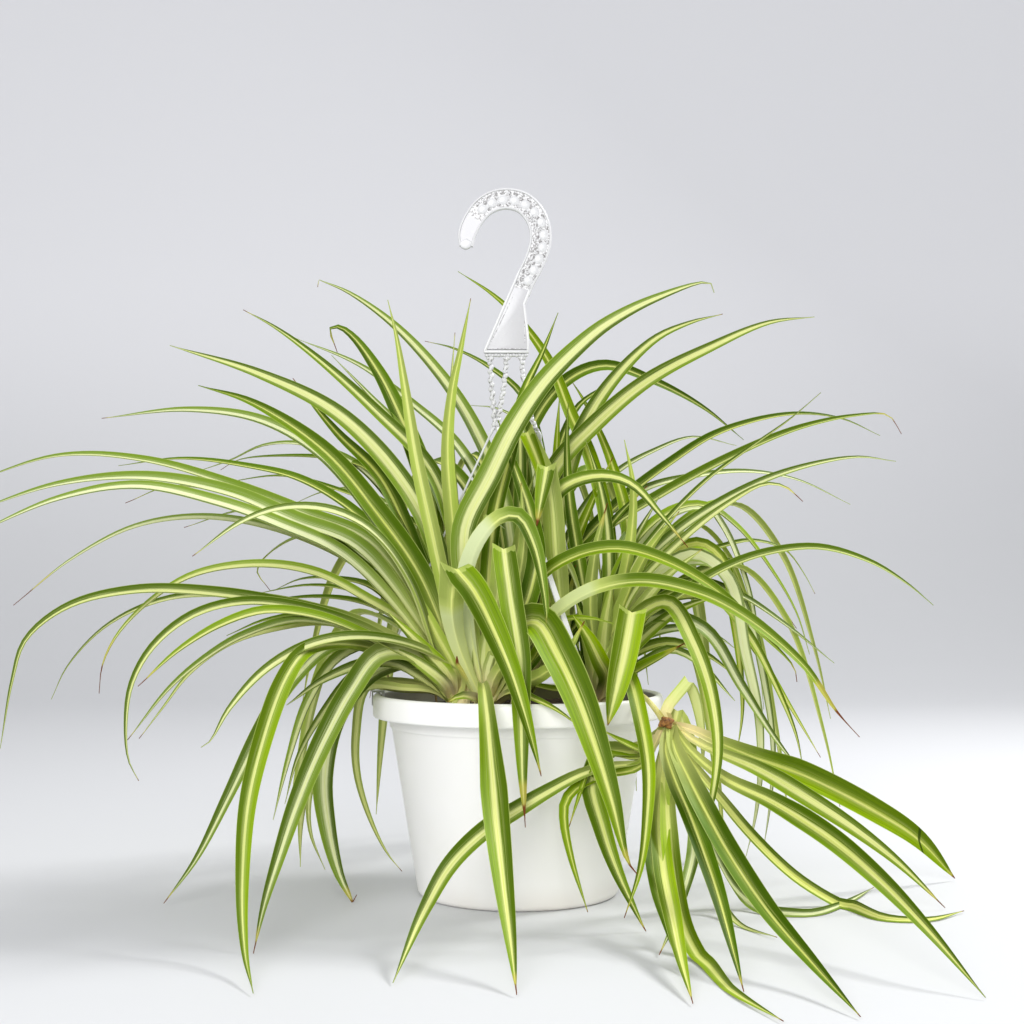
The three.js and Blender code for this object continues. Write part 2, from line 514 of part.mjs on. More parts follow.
// 1 when the sides as they stand turn the upper face of the blade to the eye, else -1.
function eyeSide(tangents, turned, line) {
  const middle = Math.floor(line.length / 2);
  const upper = new THREE.Vector3().crossVectors(turned[middle], tangents[middle]);
  return Math.sign(upper.dot(EYE.clone().sub(line[middle])));
}

// Rings of a round stem along a line.
function stem(line, radii, sides) {
  const last = line.length - 1;
  const rings = line.map((point, i) => {
    const along = line[Math.min(i + 1, last)].clone().sub(line[Math.max(i - 1, 0)]).normalize();
    const away = Math.abs(along.z) < 0.8 ? UP : new THREE.Vector3(0, 1, 0);
    const side = new THREE.Vector3().crossVectors(along, away).normalize();
    const other = new THREE.Vector3().crossVectors(side, along);
    const ring = [];
    for (let k = 0; k < sides; k++) {
      const angle = ((k + 0.5) / sides) * 2 * Math.PI;
      const out = side.clone().multiplyScalar(Math.cos(angle)).addScaledVector(other, Math.sin(angle));
      ring.push(point.clone().addScaledVector(out, radii[i]));
    }
    return ring;
  });
  return loft(rings);
}

// An upright rounded post around the line between two plan points.
function post(from, to, levels) {
  const along = new THREE.Vector3(to.x - from.x, to.y - from.y, 0);
  const angle = along.length() > 0 ? Math.atan2(along.y, along.x) : 0;
  const rings = levels.map(([radius, height]) => {
    const ring = [];
    for (let k = 0; k < 10; k++) {
      const turn = angle - Math.PI / 2 + ((k % 5) / 4) * Math.PI + (k < 5 ? 0 : Math.PI);
      const end = k < 5 ? to : from;
      const out = new THREE.Vector3(Math.cos(turn), Math.sin(turn), 0).multiplyScalar(radius);
      ring.push(end.clone().add(out).setZ(height));
    }
    return ring;
  });
  return loft(rings);
}

const STOCK = [[9.5, 113], [10, 128], [8.5, 137], [5, 144]];
const STOCK_HOLE = 10.8;

function rosette(names, rows, backRows) {
  const crowns = names.map((name) => CROWNS[name]);
  const end = crowns[crowns.length - 1].clone().add(new THREE.Vector3(0.5, 0, 0));
  const bodies = [post(crowns[0], end, STOCK)];
  for (const row of rows.filter(([crown]) => names.includes(crown))) {
    bodies.push(blade(leafLine(row), row[1], row[2]));
  }
  for (const row of backRows.filter(([crown]) => names.includes(crown))) {
    bodies.push(blade(backLine(row), row[5], 0.2));
  }
  return joined(bodies);
}

// Pot: tapered body with a step and a deep rolled rim.
const potProfile = [
  [0, 0],
  [BASE_RADIUS - 3.5, 0],
  [BASE_RADIUS - 1, 1],
  [BASE_RADIUS, 3.4],
  [87, STEP_HEIGHT - 0.6],
  [88.3, STEP_HEIGHT],
  [BODY_RADIUS_TOP, RIM_BOTTOM],
  [RIM_RADIUS - 0.8, RIM_BOTTOM],
  [RIM_RADIUS, RIM_BOTTOM + 1],
  [RIM_RADIUS, POT_HEIGHT - 2],
  [RIM_RADIUS - 0.9, POT_HEIGHT - 0.5],
  [RIM_RADIUS - 2.2, POT_HEIGHT],
  [RIM_RADIUS - 4.4, POT_HEIGHT],
  [RIM_RADIUS - 5.4, POT_HEIGHT - 1],
  [RIM_RADIUS - 6.4, RIM_BOTTOM + 2],
  [86.4, STEP_HEIGHT + 2],
  [BASE_RADIUS - 2.6, 4],
  [0, 4],
];
const plasticWhite = material(0xf4f3ef, 0.42);
addPart("pot", lathe(potProfile, POT_SEGMENTS), plasticWhite);

// Soil with a plain hole for each growing point, for the old flower stalk and for the runner.
const STALK_ROOT = new THREE.Vector3(-58, 16, 118.4);
const STALK_RADIUS = 0.9;
const RUNNER_ROOT = new THREE.Vector3(69, -20, 118.4);
const RUNNER_RADIUS = 1.5;
const soilProfile = [
  [0, SOIL_FLOOR],
  [BASE_RADIUS - 3.2, SOIL_FLOOR],
  [85.8, STEP_HEIGHT + 2.2],
  [92.6, RIM_BOTTOM + 2],
  [93, SOIL_TOP - 0.6],
  [70, SOIL_TOP],
  [0, SOIL_TOP + 0.6],
];
let soil = lathe(soilProfile, SOIL_SEGMENTS);
for (const [from, to] of [["a", "b"], ["c", "c"], ["d", "d"]]) {
  const end = CROWNS[to].clone().add(new THREE.Vector3(0.5, 0, 0));
  soil = soil.subtract(post(CROWNS[from], end, [[STOCK_HOLE, 112.6], [STOCK_HOLE, 140]]));
}
for (const [root, radius] of [[STALK_ROOT, STALK_RADIUS], [RUNNER_ROOT, RUNNER_RADIUS]]) {
  const across = (radius + CLEARANCE) / Math.cos(Math.PI / 6);
  soil = soil.subtract(stem([root.clone().setZ(118), root.clone().setZ(140)], [across, across], 6));
}
addPart("soil", soil, material(0x2c2018, 0.95));

const leafGreen = () => material(0x7f9f3c, 0.45);
addPart("rosette_left", rosette(["a", "b"], LEAVES, BACK_LEAVES), leafGreen());
addPart("rosette_right", rosette(["c"], LEAVES, BACK_LEAVES), leafGreen());
addPart("rosette_back", rosette(["d"], LEAVES, BACK_LEAVES), leafGreen());

// Young plant hanging over the rim on its runner.
const runnerLine = [
  RUNNER_ROOT.clone(),
  RUNNER_ROOT.clone().setZ(134),
  sighted(77, 139, -46),
  sighted(84, 136, -60),
  sighted(90, 131, -70),
  sighted(98, 121, -74),
  CROWNS.p.clone(),
];
const plantletBodies = [
  stem(runnerLine, [RUNNER_RADIUS, RUNNER_RADIUS, 1.5, 1.5, 1.6, 2, 3], 6),
  stem([CROWNS.p.clone().add(new THREE.Vector3(-4, 0, 5)), CROWNS.p.clone(),
    CROWNS.p.clone().add(new THREE.Vector3(7, 0, -12))], [5, 7, 4], 8),
];
for (const row of PLANTLET_LEAVES) {
  plantletBodies.push(blade(leafLine(row), row[1], row[2]));
}
addPart("plantlet", joined(plantletBodies), leafGreen());

// Stubs of dry root on the young plant.
const ROOT_STUBS = [
  [[92.2, -79, 126.8], [95.2, -80.5, 123.3], [97.2, -83, 119.8]],
  [[89.7, -81, 121.3], [94.2, -81.5, 123.8], [99.7, -81, 124.8]],
  [[93.7, -85, 125.3], [95.2, -80, 123.8], [95.7, -77.5, 126.3]],
];
const stubs = ROOT_STUBS.map((places) => {
  const line = places.map((place) => new THREE.Vector3(...place));
  return stem(line, [1.6, 3.4, 1.4], 6);
});
addPart("plantlet_roots", joined(stubs), material(0x7a5a35, 0.85));

// Hanger: an open hook with raised edges, a triangular neck, a bar and three beaded strands.
const HOOK_LINE = [
  [-36.2, 447.5, 4.6], [-35.6, 456, 6.2], [-31, 466.5, 6.8], [-24, 475.5, 7.1], [-15.5, 480.2, 7.2],
  [-6.5, 481.2, 7.2], [3, 478.6, 7.3], [10.2, 472, 7.4], [14.8, 463, 7.3], [16.3, 453.5, 7.1],
  [14.8, 443.5, 6.8], [10.4, 432.5, 6.5], [5.6, 423.5, 6.4], [2.4, 415, 6.3],
];

// A plate between two offsets (mm) from the middle line; offsets are given from its half widths.
function bandPlate(line, thick, inner, outer) {
  const last = line.length - 1;
  const near = [];
  const far = [];
  line.forEach(([x, z, half], i) => {
    const ahead = line[Math.min(i + 1, last)];
    const behind = line[Math.max(i - 1, 0)];
    const long = Math.hypot(ahead[0] - behind[0], ahead[1] - behind[1]);
    const nx = -(ahead[1] - behind[1]) / long;
    const nz = (ahead[0] - behind[0]) / long;
    near.push([x + nx * inner(half), z + nz * inner(half)]);
    far.push([x + nx * outer(half), z + nz * outer(half)]);
  });
  return plate([...near, ...far.reverse()], thick);
}

const strands = [
  [[-19.3, 370.5], [-18.6, 350], [-17, 334], [-16.2, 321.5]],
  [[-7.9, 370.5], [-9.8, 350], [-12.4, 335], [-14.6, 321.5]],
  [[2.8, 370.5], [3.4, 357], [6.6, 345], [8.6, 330], [12.4, 319.5]],
];
const hookBodies = [
  bandPlate(HOOK_LINE, HOOK_CORE_THICK, (half) => -half, (half) => half),
  bandPlate(HOOK_LINE, HOOK_THICK, (half) => half - HOOK_EDGE, (half) => half),
  bandPlate(HOOK_LINE, HOOK_THICK, (half) => -half, (half) => HOOK_EDGE - half),
  plate([[-42, 447.6], [-36.4, 443.2], [-31.6, 448.4], [-36, 451]], HOOK_THICK),
  plate([[-3.2, 421], [-23.4, 374.6], [7.2, 374.6], [7.4, 381], [4.4, 407], [8.6, 416]], HOOK_CORE_THICK),
  plate([[-3.6, 420], [-23.6, 374], [-21.5, 373.2], [-1.6, 419.4]], HOOK_THICK),
  plate([[8.8, 416], [4.6, 406.5], [7.6, 381], [7.2, 373.2], [5.3, 373.2], [5.8, 381], [2.6, 407],
    [6.6, 417]], HOOK_THICK),
  plate([[-23.6, 372.4], [7.2, 372.4], [7.2, 375.4], [-23.6, 375.4]], HOOK_THICK),
  plate([[-21.6, 368.8], [5.4, 368.8], [5.4, 372.8], [-21.6, 372.8]], STRAND_RADIUS * 2),
];
for (const strand of strands) {
  const curve = new THREE.CatmullRomCurve3(strand.map(([x, z]) => new THREE.Vector3(x, 0, z)));
  const line = curve.getSpacedPoints(STRAND_BEADS * 2);
  hookBodies.push(stem(line, line.map((_, i) => (i % 2 ? STRAND_RADIUS : STRAND_WAIST)), 5));
}
const clearPlastic = () => material(0xeef1f2, 0.12, { transparent: true, opacity: 0.55 });
addPart("hanger_hook", hookBodies.reduce((sum, next) => sum.add(next)), clearPlastic());

// A clip that sits over the rim, at an angle round the pot.
function rimClip(angle) {
  const outline = [
    [RIM_RADIUS + 1.9, POT_HEIGHT - 8.5],
    [RIM_RADIUS + 1.9, POT_HEIGHT + 1.8],
    [RIM_RADIUS - 7.6, POT_HEIGHT + 1.8],
    [RIM_RADIUS - 7.6, POT_HEIGHT - 6],
    [RIM_RADIUS - 6.4, POT_HEIGHT - 6],
    [RIM_RADIUS - 6, POT_HEIGHT + CLEARANCE],
    [RIM_RADIUS + CLEARANCE, POT_HEIGHT + CLEARANCE],
    [RIM_RADIUS + CLEARANCE, POT_HEIGHT - 8.5],
  ];
  return plate(outline, CLIP_WIDTH).rotate([0, 0, THREE.MathUtils.radToDeg(angle)]);
}

// A flat strap from the lower end of a strand to its clip.
function strap(from, angle) {
  const to = new THREE.Vector3(Math.cos(angle), Math.sin(angle), 0)
    .multiplyScalar(RIM_RADIUS + 1)
    .setZ(POT_HEIGHT + 1);
  const along = to.clone().sub(from).normalize();
  const across = new THREE.Vector3(-Math.sin(angle), Math.cos(angle), 0);
  across.addScaledVector(along, -across.dot(along)).normalize();
  const face = new THREE.Vector3().crossVectors(along, across);
  const ring = (centre, wide, thick) => [[-1, -1], [1, -1], [1, 1], [-1, 1]].map(([u, v]) =>
    centre.clone().addScaledVector(across, (u * wide) / 2).addScaledVector(face, (v * thick) / 2));
  const eyelet = from.clone().addScaledVector(along, 5);
  const blank = loft([
    ring(from, STRAP_WIDTH + 1, STRAP_THICK + 0.6),
    ring(eyelet, STRAP_WIDTH + 1, STRAP_THICK + 0.6),
    ring(eyelet.clone().addScaledVector(along, 2), STRAP_WIDTH, STRAP_THICK),
    ring(to, STRAP_WIDTH, STRAP_THICK),
  ]);
  return blank.add(rimClip(angle));
}
const strandEnds = {
  left: new THREE.Vector3(-17, 0, 320.6),
  front: new THREE.Vector3(-13.2, -0.8, 320.4),
  back: new THREE.Vector3(13, 0.8, 318.2),
};
addPart("strap_left", strap(strandEnds.left, Math.PI), clearPlastic());
addPart("strap_front", strap(strandEnds.front, THREE.MathUtils.degToRad(-60)), clearPlastic());
addPart("strap_back", strap(strandEnds.back, THREE.MathUtils.degToRad(54)), clearPlastic());

// Dry forked flower stalk leaning over the rim at the left.
const STALK_LINE = [
  STALK_ROOT.clone(),
  STALK_ROOT.clone().setZ(134),
  sighted(-76, 160, 20),
  sighted(-86, 166, 26),
  sighted(-91, 158, 30),
  sighted(-90, 147, 31),
];
const stalkBodies = [
  stem(STALK_LINE, [STALK_RADIUS, STALK_RADIUS, 0.8, 0.8, 0.7, 0.7], 5),
  stem([sighted(-90, 148, 31), sighted(-93, 143, 31), sighted(-99, 141, 31)], [0.7, 0.6, 0.5], 5),
  stem([sighted(-90, 148, 31), sighted(-87, 143, 31), sighted(-84, 140, 31)], [0.7, 0.6, 0.5], 5),
];
addPart("dry_stalk", joined(stalkBodies), material(0xb89a6a, 0.8));

export default group;
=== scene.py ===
"""Finished looks of a striped spider plant in a white hanging pot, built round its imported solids.

Lengths in the tables are millimetres, as in the solids; meshes are made in metres.
"""

import math
import random

import bpy
import numpy as np
from mathutils import Matrix, Vector


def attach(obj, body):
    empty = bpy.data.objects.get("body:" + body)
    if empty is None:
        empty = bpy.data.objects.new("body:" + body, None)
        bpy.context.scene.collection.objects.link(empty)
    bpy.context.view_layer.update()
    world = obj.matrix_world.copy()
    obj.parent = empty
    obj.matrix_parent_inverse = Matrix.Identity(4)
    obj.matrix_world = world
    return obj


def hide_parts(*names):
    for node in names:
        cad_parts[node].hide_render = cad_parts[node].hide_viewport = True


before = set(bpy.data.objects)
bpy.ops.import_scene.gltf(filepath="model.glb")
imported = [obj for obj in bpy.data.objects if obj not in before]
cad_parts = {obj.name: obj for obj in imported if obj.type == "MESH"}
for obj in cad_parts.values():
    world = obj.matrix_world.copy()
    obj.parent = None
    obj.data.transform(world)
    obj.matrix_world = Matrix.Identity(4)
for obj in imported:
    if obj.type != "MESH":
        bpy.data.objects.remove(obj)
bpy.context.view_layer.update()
MM = 0.001

bl_info = {
    "name": "Striped spider plant",
    "version": (1, 0, 0),
    "blender": (4, 5, 0),
    "location": "View3D > Sidebar > Spider Plant",
    "description": "Dresses the solids of a potted spider plant",
    "category": "Object",
}

# ---------------------------------------------------------------- where the leaves run

# The viewer's eye. A leaf point (across, up) is where it is seen in the plane of the pot's axis.
EYE = Vector((-4.2, -1111, 219))
UP = Vector((0, 0, 1))
# The depth of a point that lies on the table, and the height of a leaf's line there.
TABLE = "table"
TABLE_REST = 1.7
# A root stands this far from the middle of its growing point, on one of a few levels.
ROOT_SPREAD = 5
ROOT_LEVELS = 4
ROOT_STEP = 1.3
# Above 1, a leaf whose row gives no depths on its way changes its depth late.
DEPTH_EASE = 1.15

# The growing points: a and b left, c right, d back, p the young plant.
CROWNS = {
    "a": Vector((-40, -22, 130)),
    "b": Vector((-24, -46, 130)),
    "c": Vector((56, -8, 130)),
    "d": Vector((2, 42, 130)),
    "p": Vector((97, -72, 117)),
}


def tones(tint, band, pale, **more):
    """How a leaf looks.

    tint: 0 deep green, 1 fresh green; band: half width of the cream middle, as a share;
    pale: 0 yellow cream, 1 white cream. More may give
    brown: mm of dry tip; crack: mm from the tip to a crack across the blade;
    blunt: more than USUAL is a blunter point; foot: share of the width at the root;
    turned: share of the length, from the root, that shows the underside; under: how pale that is,
    where values past 1 whiten it further as painted sheen;
    show: 1 where the row's facing settles which side shows.
    """
    return {"tint": tint, "band": band, "pale": pale, **more}


USUAL = {"crack": 0, "blunt": 1.8, "foot": 0.5, "turned": -1, "under": 1.4, "show": 0}
DEEP = tones(0.12, 0.13, 0.1)
FRESH = tones(0.85, 0.15, 0.0)
GREY = tones(0.3, 0.3, 0.9)
CREAM = tones(0.6, 0.5, 0.35)
# Nothing given: the tones are drawn by chance, within the habit of the growing point.
DRAWN = {}

# One row per leaf: growing point, width, how far it faces the eye (below 0 shows the underside),
# depth of the tip, then points (across, up, depth if given), and its looks.
LEAVES = [
    # Left, rising
    ("a", 13, 0.75, 40, [(-44, 165), (-58, 240), (-82, 285), (-125, 330), (-180, 358), (-243, 378)],
     tones(0.35, 0.4, 0.4)),
    ("a", 14, 0.7, -60, [(-48, 165), (-66, 215), (-98, 262), (-135, 305), (-185, 338), (-223, 350)],
     tones(0.35, 0.1, 0.1)),
    ("a", 11, 0.5, 10, [(-50, 165), (-75, 215), (-105, 265), (-140, 304), (-180, 326), (-230, 333),
     (-290, 327)], GREY),
    ("a", 10, 0.7, 30, [(-42, 170), (-44, 240), (-60, 290), (-100, 333), (-140, 369), (-170, 391),
     (-192, 403)], tones(0.4, 0.24, 0.4)),
    ("a", 7, 0.6, 70, [(-36, 170), (-47, 250), (-77, 314), (-105, 345), (-130, 371)], GREY),
    ("d", 9, 0.5, 150, [(-8, 170), (-18, 262), (-42, 308), (-72, 336), (-110, 364), (-155, 383)], GREY),
    ("a", 15, 0.7, 90, [(-44, 170), (-58, 260), (-70, 300), (-83, 331), (-97, 359), (-115, 384),
     (-125, 391), (-131, 390), (-126, 373)], DEEP),
    ("d", 11, 0.7, 90, [(0, 180), (-10, 270), (-28, 316), (-50, 352), (-85, 391), (-118, 415),
     (-139, 424), (-140, 419)], tones(0.3, 0.34, 0.6)),
    ("a", 9.5, 0.9, -70, [(-43, 165), (-58, 240), (-71, 300), (-79, 350), (-85, 385), (-91, 410)],
     tones(0.64, 0.24, 0.2)),
    ("a", 9.5, 0.9, -30, [(-37, 170), (-45, 250), (-49, 305), (-46, 345), (-40, 375), (-33, 411)],
     tones(0.72, 0.12, 0)),
    ("a", 5, 0.8, -9, [(-34, 180), (-44, 270), (-47, 340), (-44, 387)], CREAM),
    ("a", 11, 0.7, 80, [(-50, 165), (-70, 230), (-95, 285), (-125, 316), (-143, 337), (-157, 355)],
     tones(0.2, 0.16, 0)),
    # Left, long arches
    ("a", 12, 0.35, -10, [(-55, 165), (-100, 240), (-150, 262), (-200, 281), (-260, 298), (-320, 301),
     (-385, 281)], tones(0.3, 0.2, 0.7)),
    ("a", 14, 0.42, -50, [(-56, 163), (-110, 237), (-155, 256), (-200, 275), (-260, 286), (-320, 281),
     (-380, 262)], tones(0.3, 0.26, 0.9)),
    ("a", 12.9, 0.42, -90, [(-58, 160), (-118, 230), (-165, 253), (-210, 269), (-265, 280), (-320, 271),
     (-385, 243)], tones(0.3, 0.36, 0.9)),
    ("a", 10.1, 0.35, 40, [(-52, 165), (-75, 215), (-108, 257), (-150, 284), (-190, 294), (-235, 299),
     (-278, 294)], DEEP),
    ("a", 8.3, 0.35, 110, [(-44, 165), (-70, 240), (-110, 293), (-150, 309), (-178, 308), (-200, 298),
     (-226, 289)], GREY),
    ("a", 8.3, 0.28, 98, [(-46, 165), (-78, 255), (-105, 292), (-130, 299), (-160, 301), (-195, 298),
     (-207, 291)], DEEP),
    ("d", 7.4, 0.28, 130, [(-20, 170), (-60, 245), (-130, 279), (-165, 287), (-206, 282)], DEEP),
    ("a", 9.2, 0.35, -30, [(-60, 160), (-78, 193), (-110, 223), (-160, 247), (-215, 258), (-265, 252),
     (-310, 229), (-350, 197)], tones(0.3, 0.5, 0.9, brown=17)),
    ("a", 7.4, 0.28, 18, [(-50, 165), (-90, 220), (-150, 256), (-190, 263), (-232, 251)], GREY),
    ("a", 10.1, 0.42, -120, [(-56, 160), (-75, 213), (-100, 247), (-127, 262), (-160, 265), (-190, 256),
     (-226, 231)], tones(0.55, 0.42, 0.7, brown=3)),
    ("d", 7.4, 0.28, 175, [(-20, 170), (-60, 240), (-110, 277), (-135, 276), (-157, 267)], GREY),
    ("a", 5.5, 0.28, 20, [(-56, 165), (-120, 237), (-190, 270), (-240, 280), (-273, 268)], GREY),
    # Left, middle
    ("a", 12, 0.35, -60, [(-58, 152), (-82, 171), (-115, 186), (-160, 197), (-210, 205), (-265, 207),
     (-312, 196), (-341, 173), (-350, 145), (-358, 98)], tones(0.4, 0.36, 0.4)),
    ("a", 10.1, 0.35, -20, [(-60, 160), (-78, 184), (-105, 201), (-140, 219), (-180, 225), (-225, 218),
     (-255, 200), (-278, 176), (-288, 155), (-290, 136)], {**CREAM, "brown": 20}),
    ("a", 9.2, 0.35, 25, [(-56, 150), (-95, 179), (-150, 197), (-200, 204), (-245, 201), (-285, 183),
     (-312, 155), (-323, 132)], tones(0.35, 0.36, 0.5)),
    ("a", 10.1, 0.35, -105, [(-58, 150), (-100, 178), (-150, 195), (-190, 199), (-225, 190),
     (-252, 169), (-267, 143), (-271, 115), (-269, 90), (-262, 76)], tones(0.35, 0.3, 0.4)),
    ("a", 11, 0.35, -135, [(-58, 148), (-95, 171), (-138, 189), (-175, 193), (-205, 184), (-235, 166),
     (-263, 141)], tones(0.5, 0.25, 0.2)),
    ("a", 8.3, 0.28, -60, [(-58, 150), (-98, 174), (-145, 190), (-175, 187), (-202, 176)], DEEP),
    ("a", 9.2, 0.35, -95, [(-60, 148), (-100, 174), (-150, 187), (-188, 177), (-213, 163), (-240, 141),
     (-270, 104)], tones(0.15, 0.26, 0.6)),
    ("a", 8.3, 0.35, -40, [(-56, 147), (-90, 169), (-130, 184), (-165, 181), (-200, 170), (-228, 149),
     (-245, 127), (-262, 105)], CREAM),
    ("a", 10.1, 0.35, -150, [(-38, 145), (-52, 159), (-80, 171), (-115, 175), (-145, 169), (-175, 152),
     (-200, 125), (-213, 103), (-219, 99)], tones(0.4, 0.4, 0.5)),
    ("a", 7.4, 0.35, 110, [(-55, 165), (-95, 222), (-150, 245), (-181, 222), (-172, 207)], GREY),
    ("a", 8.3, 0.28, 60, [(-56, 155), (-80, 190), (-102, 210), (-130, 216), (-152, 215), (-170, 207)],
     DEEP),
    ("d", 7.4, 0.28, 100, [(-30, 160), (-80, 190), (-115, 207), (-145, 211), (-182, 205)], DEEP),
    ("d", 8.3, 0.28, 70, [(-30, 155), (-72, 180), (-105, 198), (-140, 203), (-190, 198)], DEEP),
    # Left, hanging to the table
    ("a", 11.5, 0.7, TABLE, [(-62, 146, -16), (-88, 163, -26), (-115, 170, -48), (-138, 169, -74),
     (-152, 161, -100), (-164, 140, -114), (-178, 98, -132), (-187, 56, -158), (-190, 0, -190),
     (-188, -40, -228), (-182, -69)], tones(0.75, 0.14, 0.3, foot=0.1)),
    ("a", 12.5, 0.6, TABLE, [(-58, 145), (-88, 163), (-125, 171), (-155, 147), (-178, 110), (-200, 65),
     (-222, 22), (-244, -8)], tones(0.4, 0.2, 0.8, brown=5)),
    ("a", 13, 0.7, TABLE, [(-54, 146), (-74, 163), (-96, 163), (-115, 139), (-135, 102), (-152, 62),
     (-166, 20), (-175, -10), (-182, -42)], tones(0.4, 0.22, 0.8)),
    ("a", 10, 0.5, -20, [(-52, 148), (-70, 166), (-98, 171), (-125, 160), (-145, 130), (-158, 92),
     (-169, 49)], DRAWN),
    ("a", 9, 0.5, 10, [(-50, 148), (-75, 162), (-110, 151), (-135, 122), (-152, 92), (-161, 60)],
     DRAWN),
    ("a", 9, 0.5, TABLE, [(-58, 137, -20), (-80, 139, -22), (-104, 141, -18), (-121, 130, -5),
     (-136, 104, 20), (-146, 74, 45), (-150, 45, 66), (-150, 17)], DRAWN),
    ("a", 14, 0.7, -42, [(-52, 146), (-70, 158), (-100, 151), (-125, 120), (-134, 80), (-131, 45),
     (-123, 12), (-114, -7), (-111, -2)], tones(0.3, 0.3, 0.8, brown=8, blunt=3)),
    ("a", 7, 0.6, 30, [(-46, 150), (-72, 162), (-105, 149), (-132, 110), (-144, 65), (-143, 40),
     (-133, 15)], DRAWN),
    ("a", 10, 0.5, -60, [(-52, 136), (-68, 147), (-85, 156), (-106, 156), (-135, 145), (-160, 128)],
     DRAWN),
    ("a", 6, 0.6, 70, [(-56, 139, 0), (-84, 144, 14), (-105, 140, 24), (-112, 108, 40), (-111, 80, 52),
     (-102, 50, 62), (-90, 26, 68), (-80, 14)], DRAWN),
    # Middle, rising
    ("c", 10, 0.7, 140, [(62, 180), (62, 250), (50, 300), (37, 329), (22, 366), (0, 397), (-18, 414),
     (-42, 430)], FRESH),
    ("b", 10, 0.8, -50, [(-22, 170), (-17, 255), (-5, 304), (4, 345), (17, 373), (28, 401)],
     tones(0.2, 0.2, 0)),
    ("d", 8, 0.5, 130, [(10, 180), (18, 280), (4, 341), (-20, 363), (-45, 376), (-65, 381)], DEEP),
    ("d", 7, 0.4, 100, [(8, 180), (12, 280), (0, 325), (-15, 334), (-33, 336)], GREY),
    ("b", 15, 0.75, -75, [(-28, 170), (-38, 240), (-35, 257), (-20, 286), (-4, 319), (18, 352),
     (40, 375), (62, 393), (96, 411), (134, 422), (137, 415)], tones(0.25, 0.4, 0.5)),
    ("a", 11, 0.8, -40, [(-30, 170), (-27, 230), (-20, 275), (-10, 312)], {**FRESH, "band": 0.3}),
    ("d", 13, -0.8, -20, [(16, 170, 30), (26, 235, 12), (20, 285, 4), (6, 317, -2), (15, 294, -12),
     (24, 262, -18), (28, 235)], tones(1, 0.2, 0)),
    ("c", 13, -0.85, -64, [(36, 160), (27, 220, -32), (24, 262, -40), (20, 293, -52), (16, 272, -60),
     (13, 252)], tones(0.5, 0.2, 0.3, brown=5, blunt=5, foot=0.15, turned=0.5)),
    ("b", 12, 0.85, -44, [(-8, 168, -62), (8, 205, -66), (13, 235, -64), (8, 262, -58), (-2, 292, -50),
     (-14, 326)], tones(0.1, 0.14, 0.1, brown=0)),
    ("d", 13, 0.75, 40, [(8, 170), (12, 255), (26, 292), (52, 321), (90, 353), (135, 377), (175, 394),
     (207, 398)], tones(0.45, 0.42, 0.3)),
    ("d", 13, 0.75, 60, [(14, 170), (28, 260), (42, 312), (62, 348), (95, 382), (120, 394), (143, 400)],
     tones(0.3, 0.36, 0.3)),
    ("d", 11, 0.7, 150, [(2, 180), (-4, 260), (8, 318), (32, 352), (60, 364), (95, 353), (130, 334),
     (157, 312)], DEEP),
    ("c", 9, 0.7, 120, [(70, 180), (76, 252), (67, 290), (55, 321), (45, 341), (36, 355)], FRESH),
    ("d", 9, 0.7, 110, [(10, 180), (20, 270), (40, 333), (60, 349), (75, 358)], DEEP),
    ("d", 10, 0.8, 60, [(16, 180), (26, 260), (27, 310), (29, 343)], FRESH),
    ("c", 9, 0.8, 40, [(50, 180), (36, 270), (34, 310), (35, 338)], DEEP),
    ("c", 9, 0.8, 30, [(62, 180), (62, 250), (55, 288), (47, 312)], tones(0.2, 0.25, 0.3)),
    ("c", 8, 0.8, -16, [(66, 180), (78, 240), (80, 280), (74, 312)], FRESH),
    ("d", 7, 0.4, 150, [(18, 170), (38, 250), (66, 287), (96, 305), (122, 314), (152, 308)], GREY),
    # Right, long arches
    ("d", 10.1, 0.35, 112, [(14, 165), (38, 232), (70, 268), (106, 296), (140, 317), (190, 330),
     (225, 327), (252, 315)], DEEP),
    ("d", 11, 0.42, 10, [(16, 160), (30, 213), (60, 248), (100, 274), (150, 301), (195, 320),
     (235, 329), (258, 329), (267, 316)], tones(0.5, 0.12, 0.3, brown=12)),
    ("c", 5, 0.42, -20, [(62, 165), (78, 222), (98, 250), (130, 283), (162, 307), (190, 327),
     (211, 345)], tones(0.3, 0.2, 0.3)),
    ("c", 10.1, 0.42, -25, [(64, 165), (76, 212), (102, 241), (142, 269), (185, 289), (235, 300),
     (263, 297)], tones(0.3, 0.3, 0.6)),
    ("d", 9.2, 0.35, 120, [(16, 165), (40, 235), (85, 276), (125, 287), (160, 290), (195, 284),
     (231, 267)], GREY),
    ("c", 10.1, 0.42, -65, [(64, 160), (80, 205), (112, 240), (146, 267), (172, 281), (186, 279),
     (198, 269)], CREAM),
    ("c", 6.4, 0.35, 70, [(64, 160), (85, 205), (115, 228), (142, 238), (162, 242), (185, 236),
     (198, 220), (206, 205)], DRAWN),
    ("c", 9, 0.42, -70, [(62, 155), (80, 182), (112, 204), (146, 224), (176, 234), (210, 237),
     (245, 227), (270, 212), (288, 197)], tones(0.5, 0.14, 0.4)),
    ("d", 11, 0.9, -62, [(4, 170), (12, 245, -20), (30, 278, -36), (56, 287, -46), (78, 282, -52),
     (100, 259, -58), (118, 237)], tones(0.2, 0.3, 0.2, show=1)),
    ("b", 10, 0.55, -95, [(-12, 155), (12, 212), (38, 231), (70, 237), (105, 227), (140, 206),
     (166, 180), (191, 154), (193, 144)], tones(0.6, 0.08, 0, brown=6)),
    ("b", 10.5, 0.55, -150, [(-10, 145), (16, 182), (48, 206), (85, 214), (125, 206), (152, 193),
     (178, 174), (200, 153), (220, 124), (236, 106)],
     tones(0.6, 0.08, 0.2, brown=22, turned=0.42, under=2)),
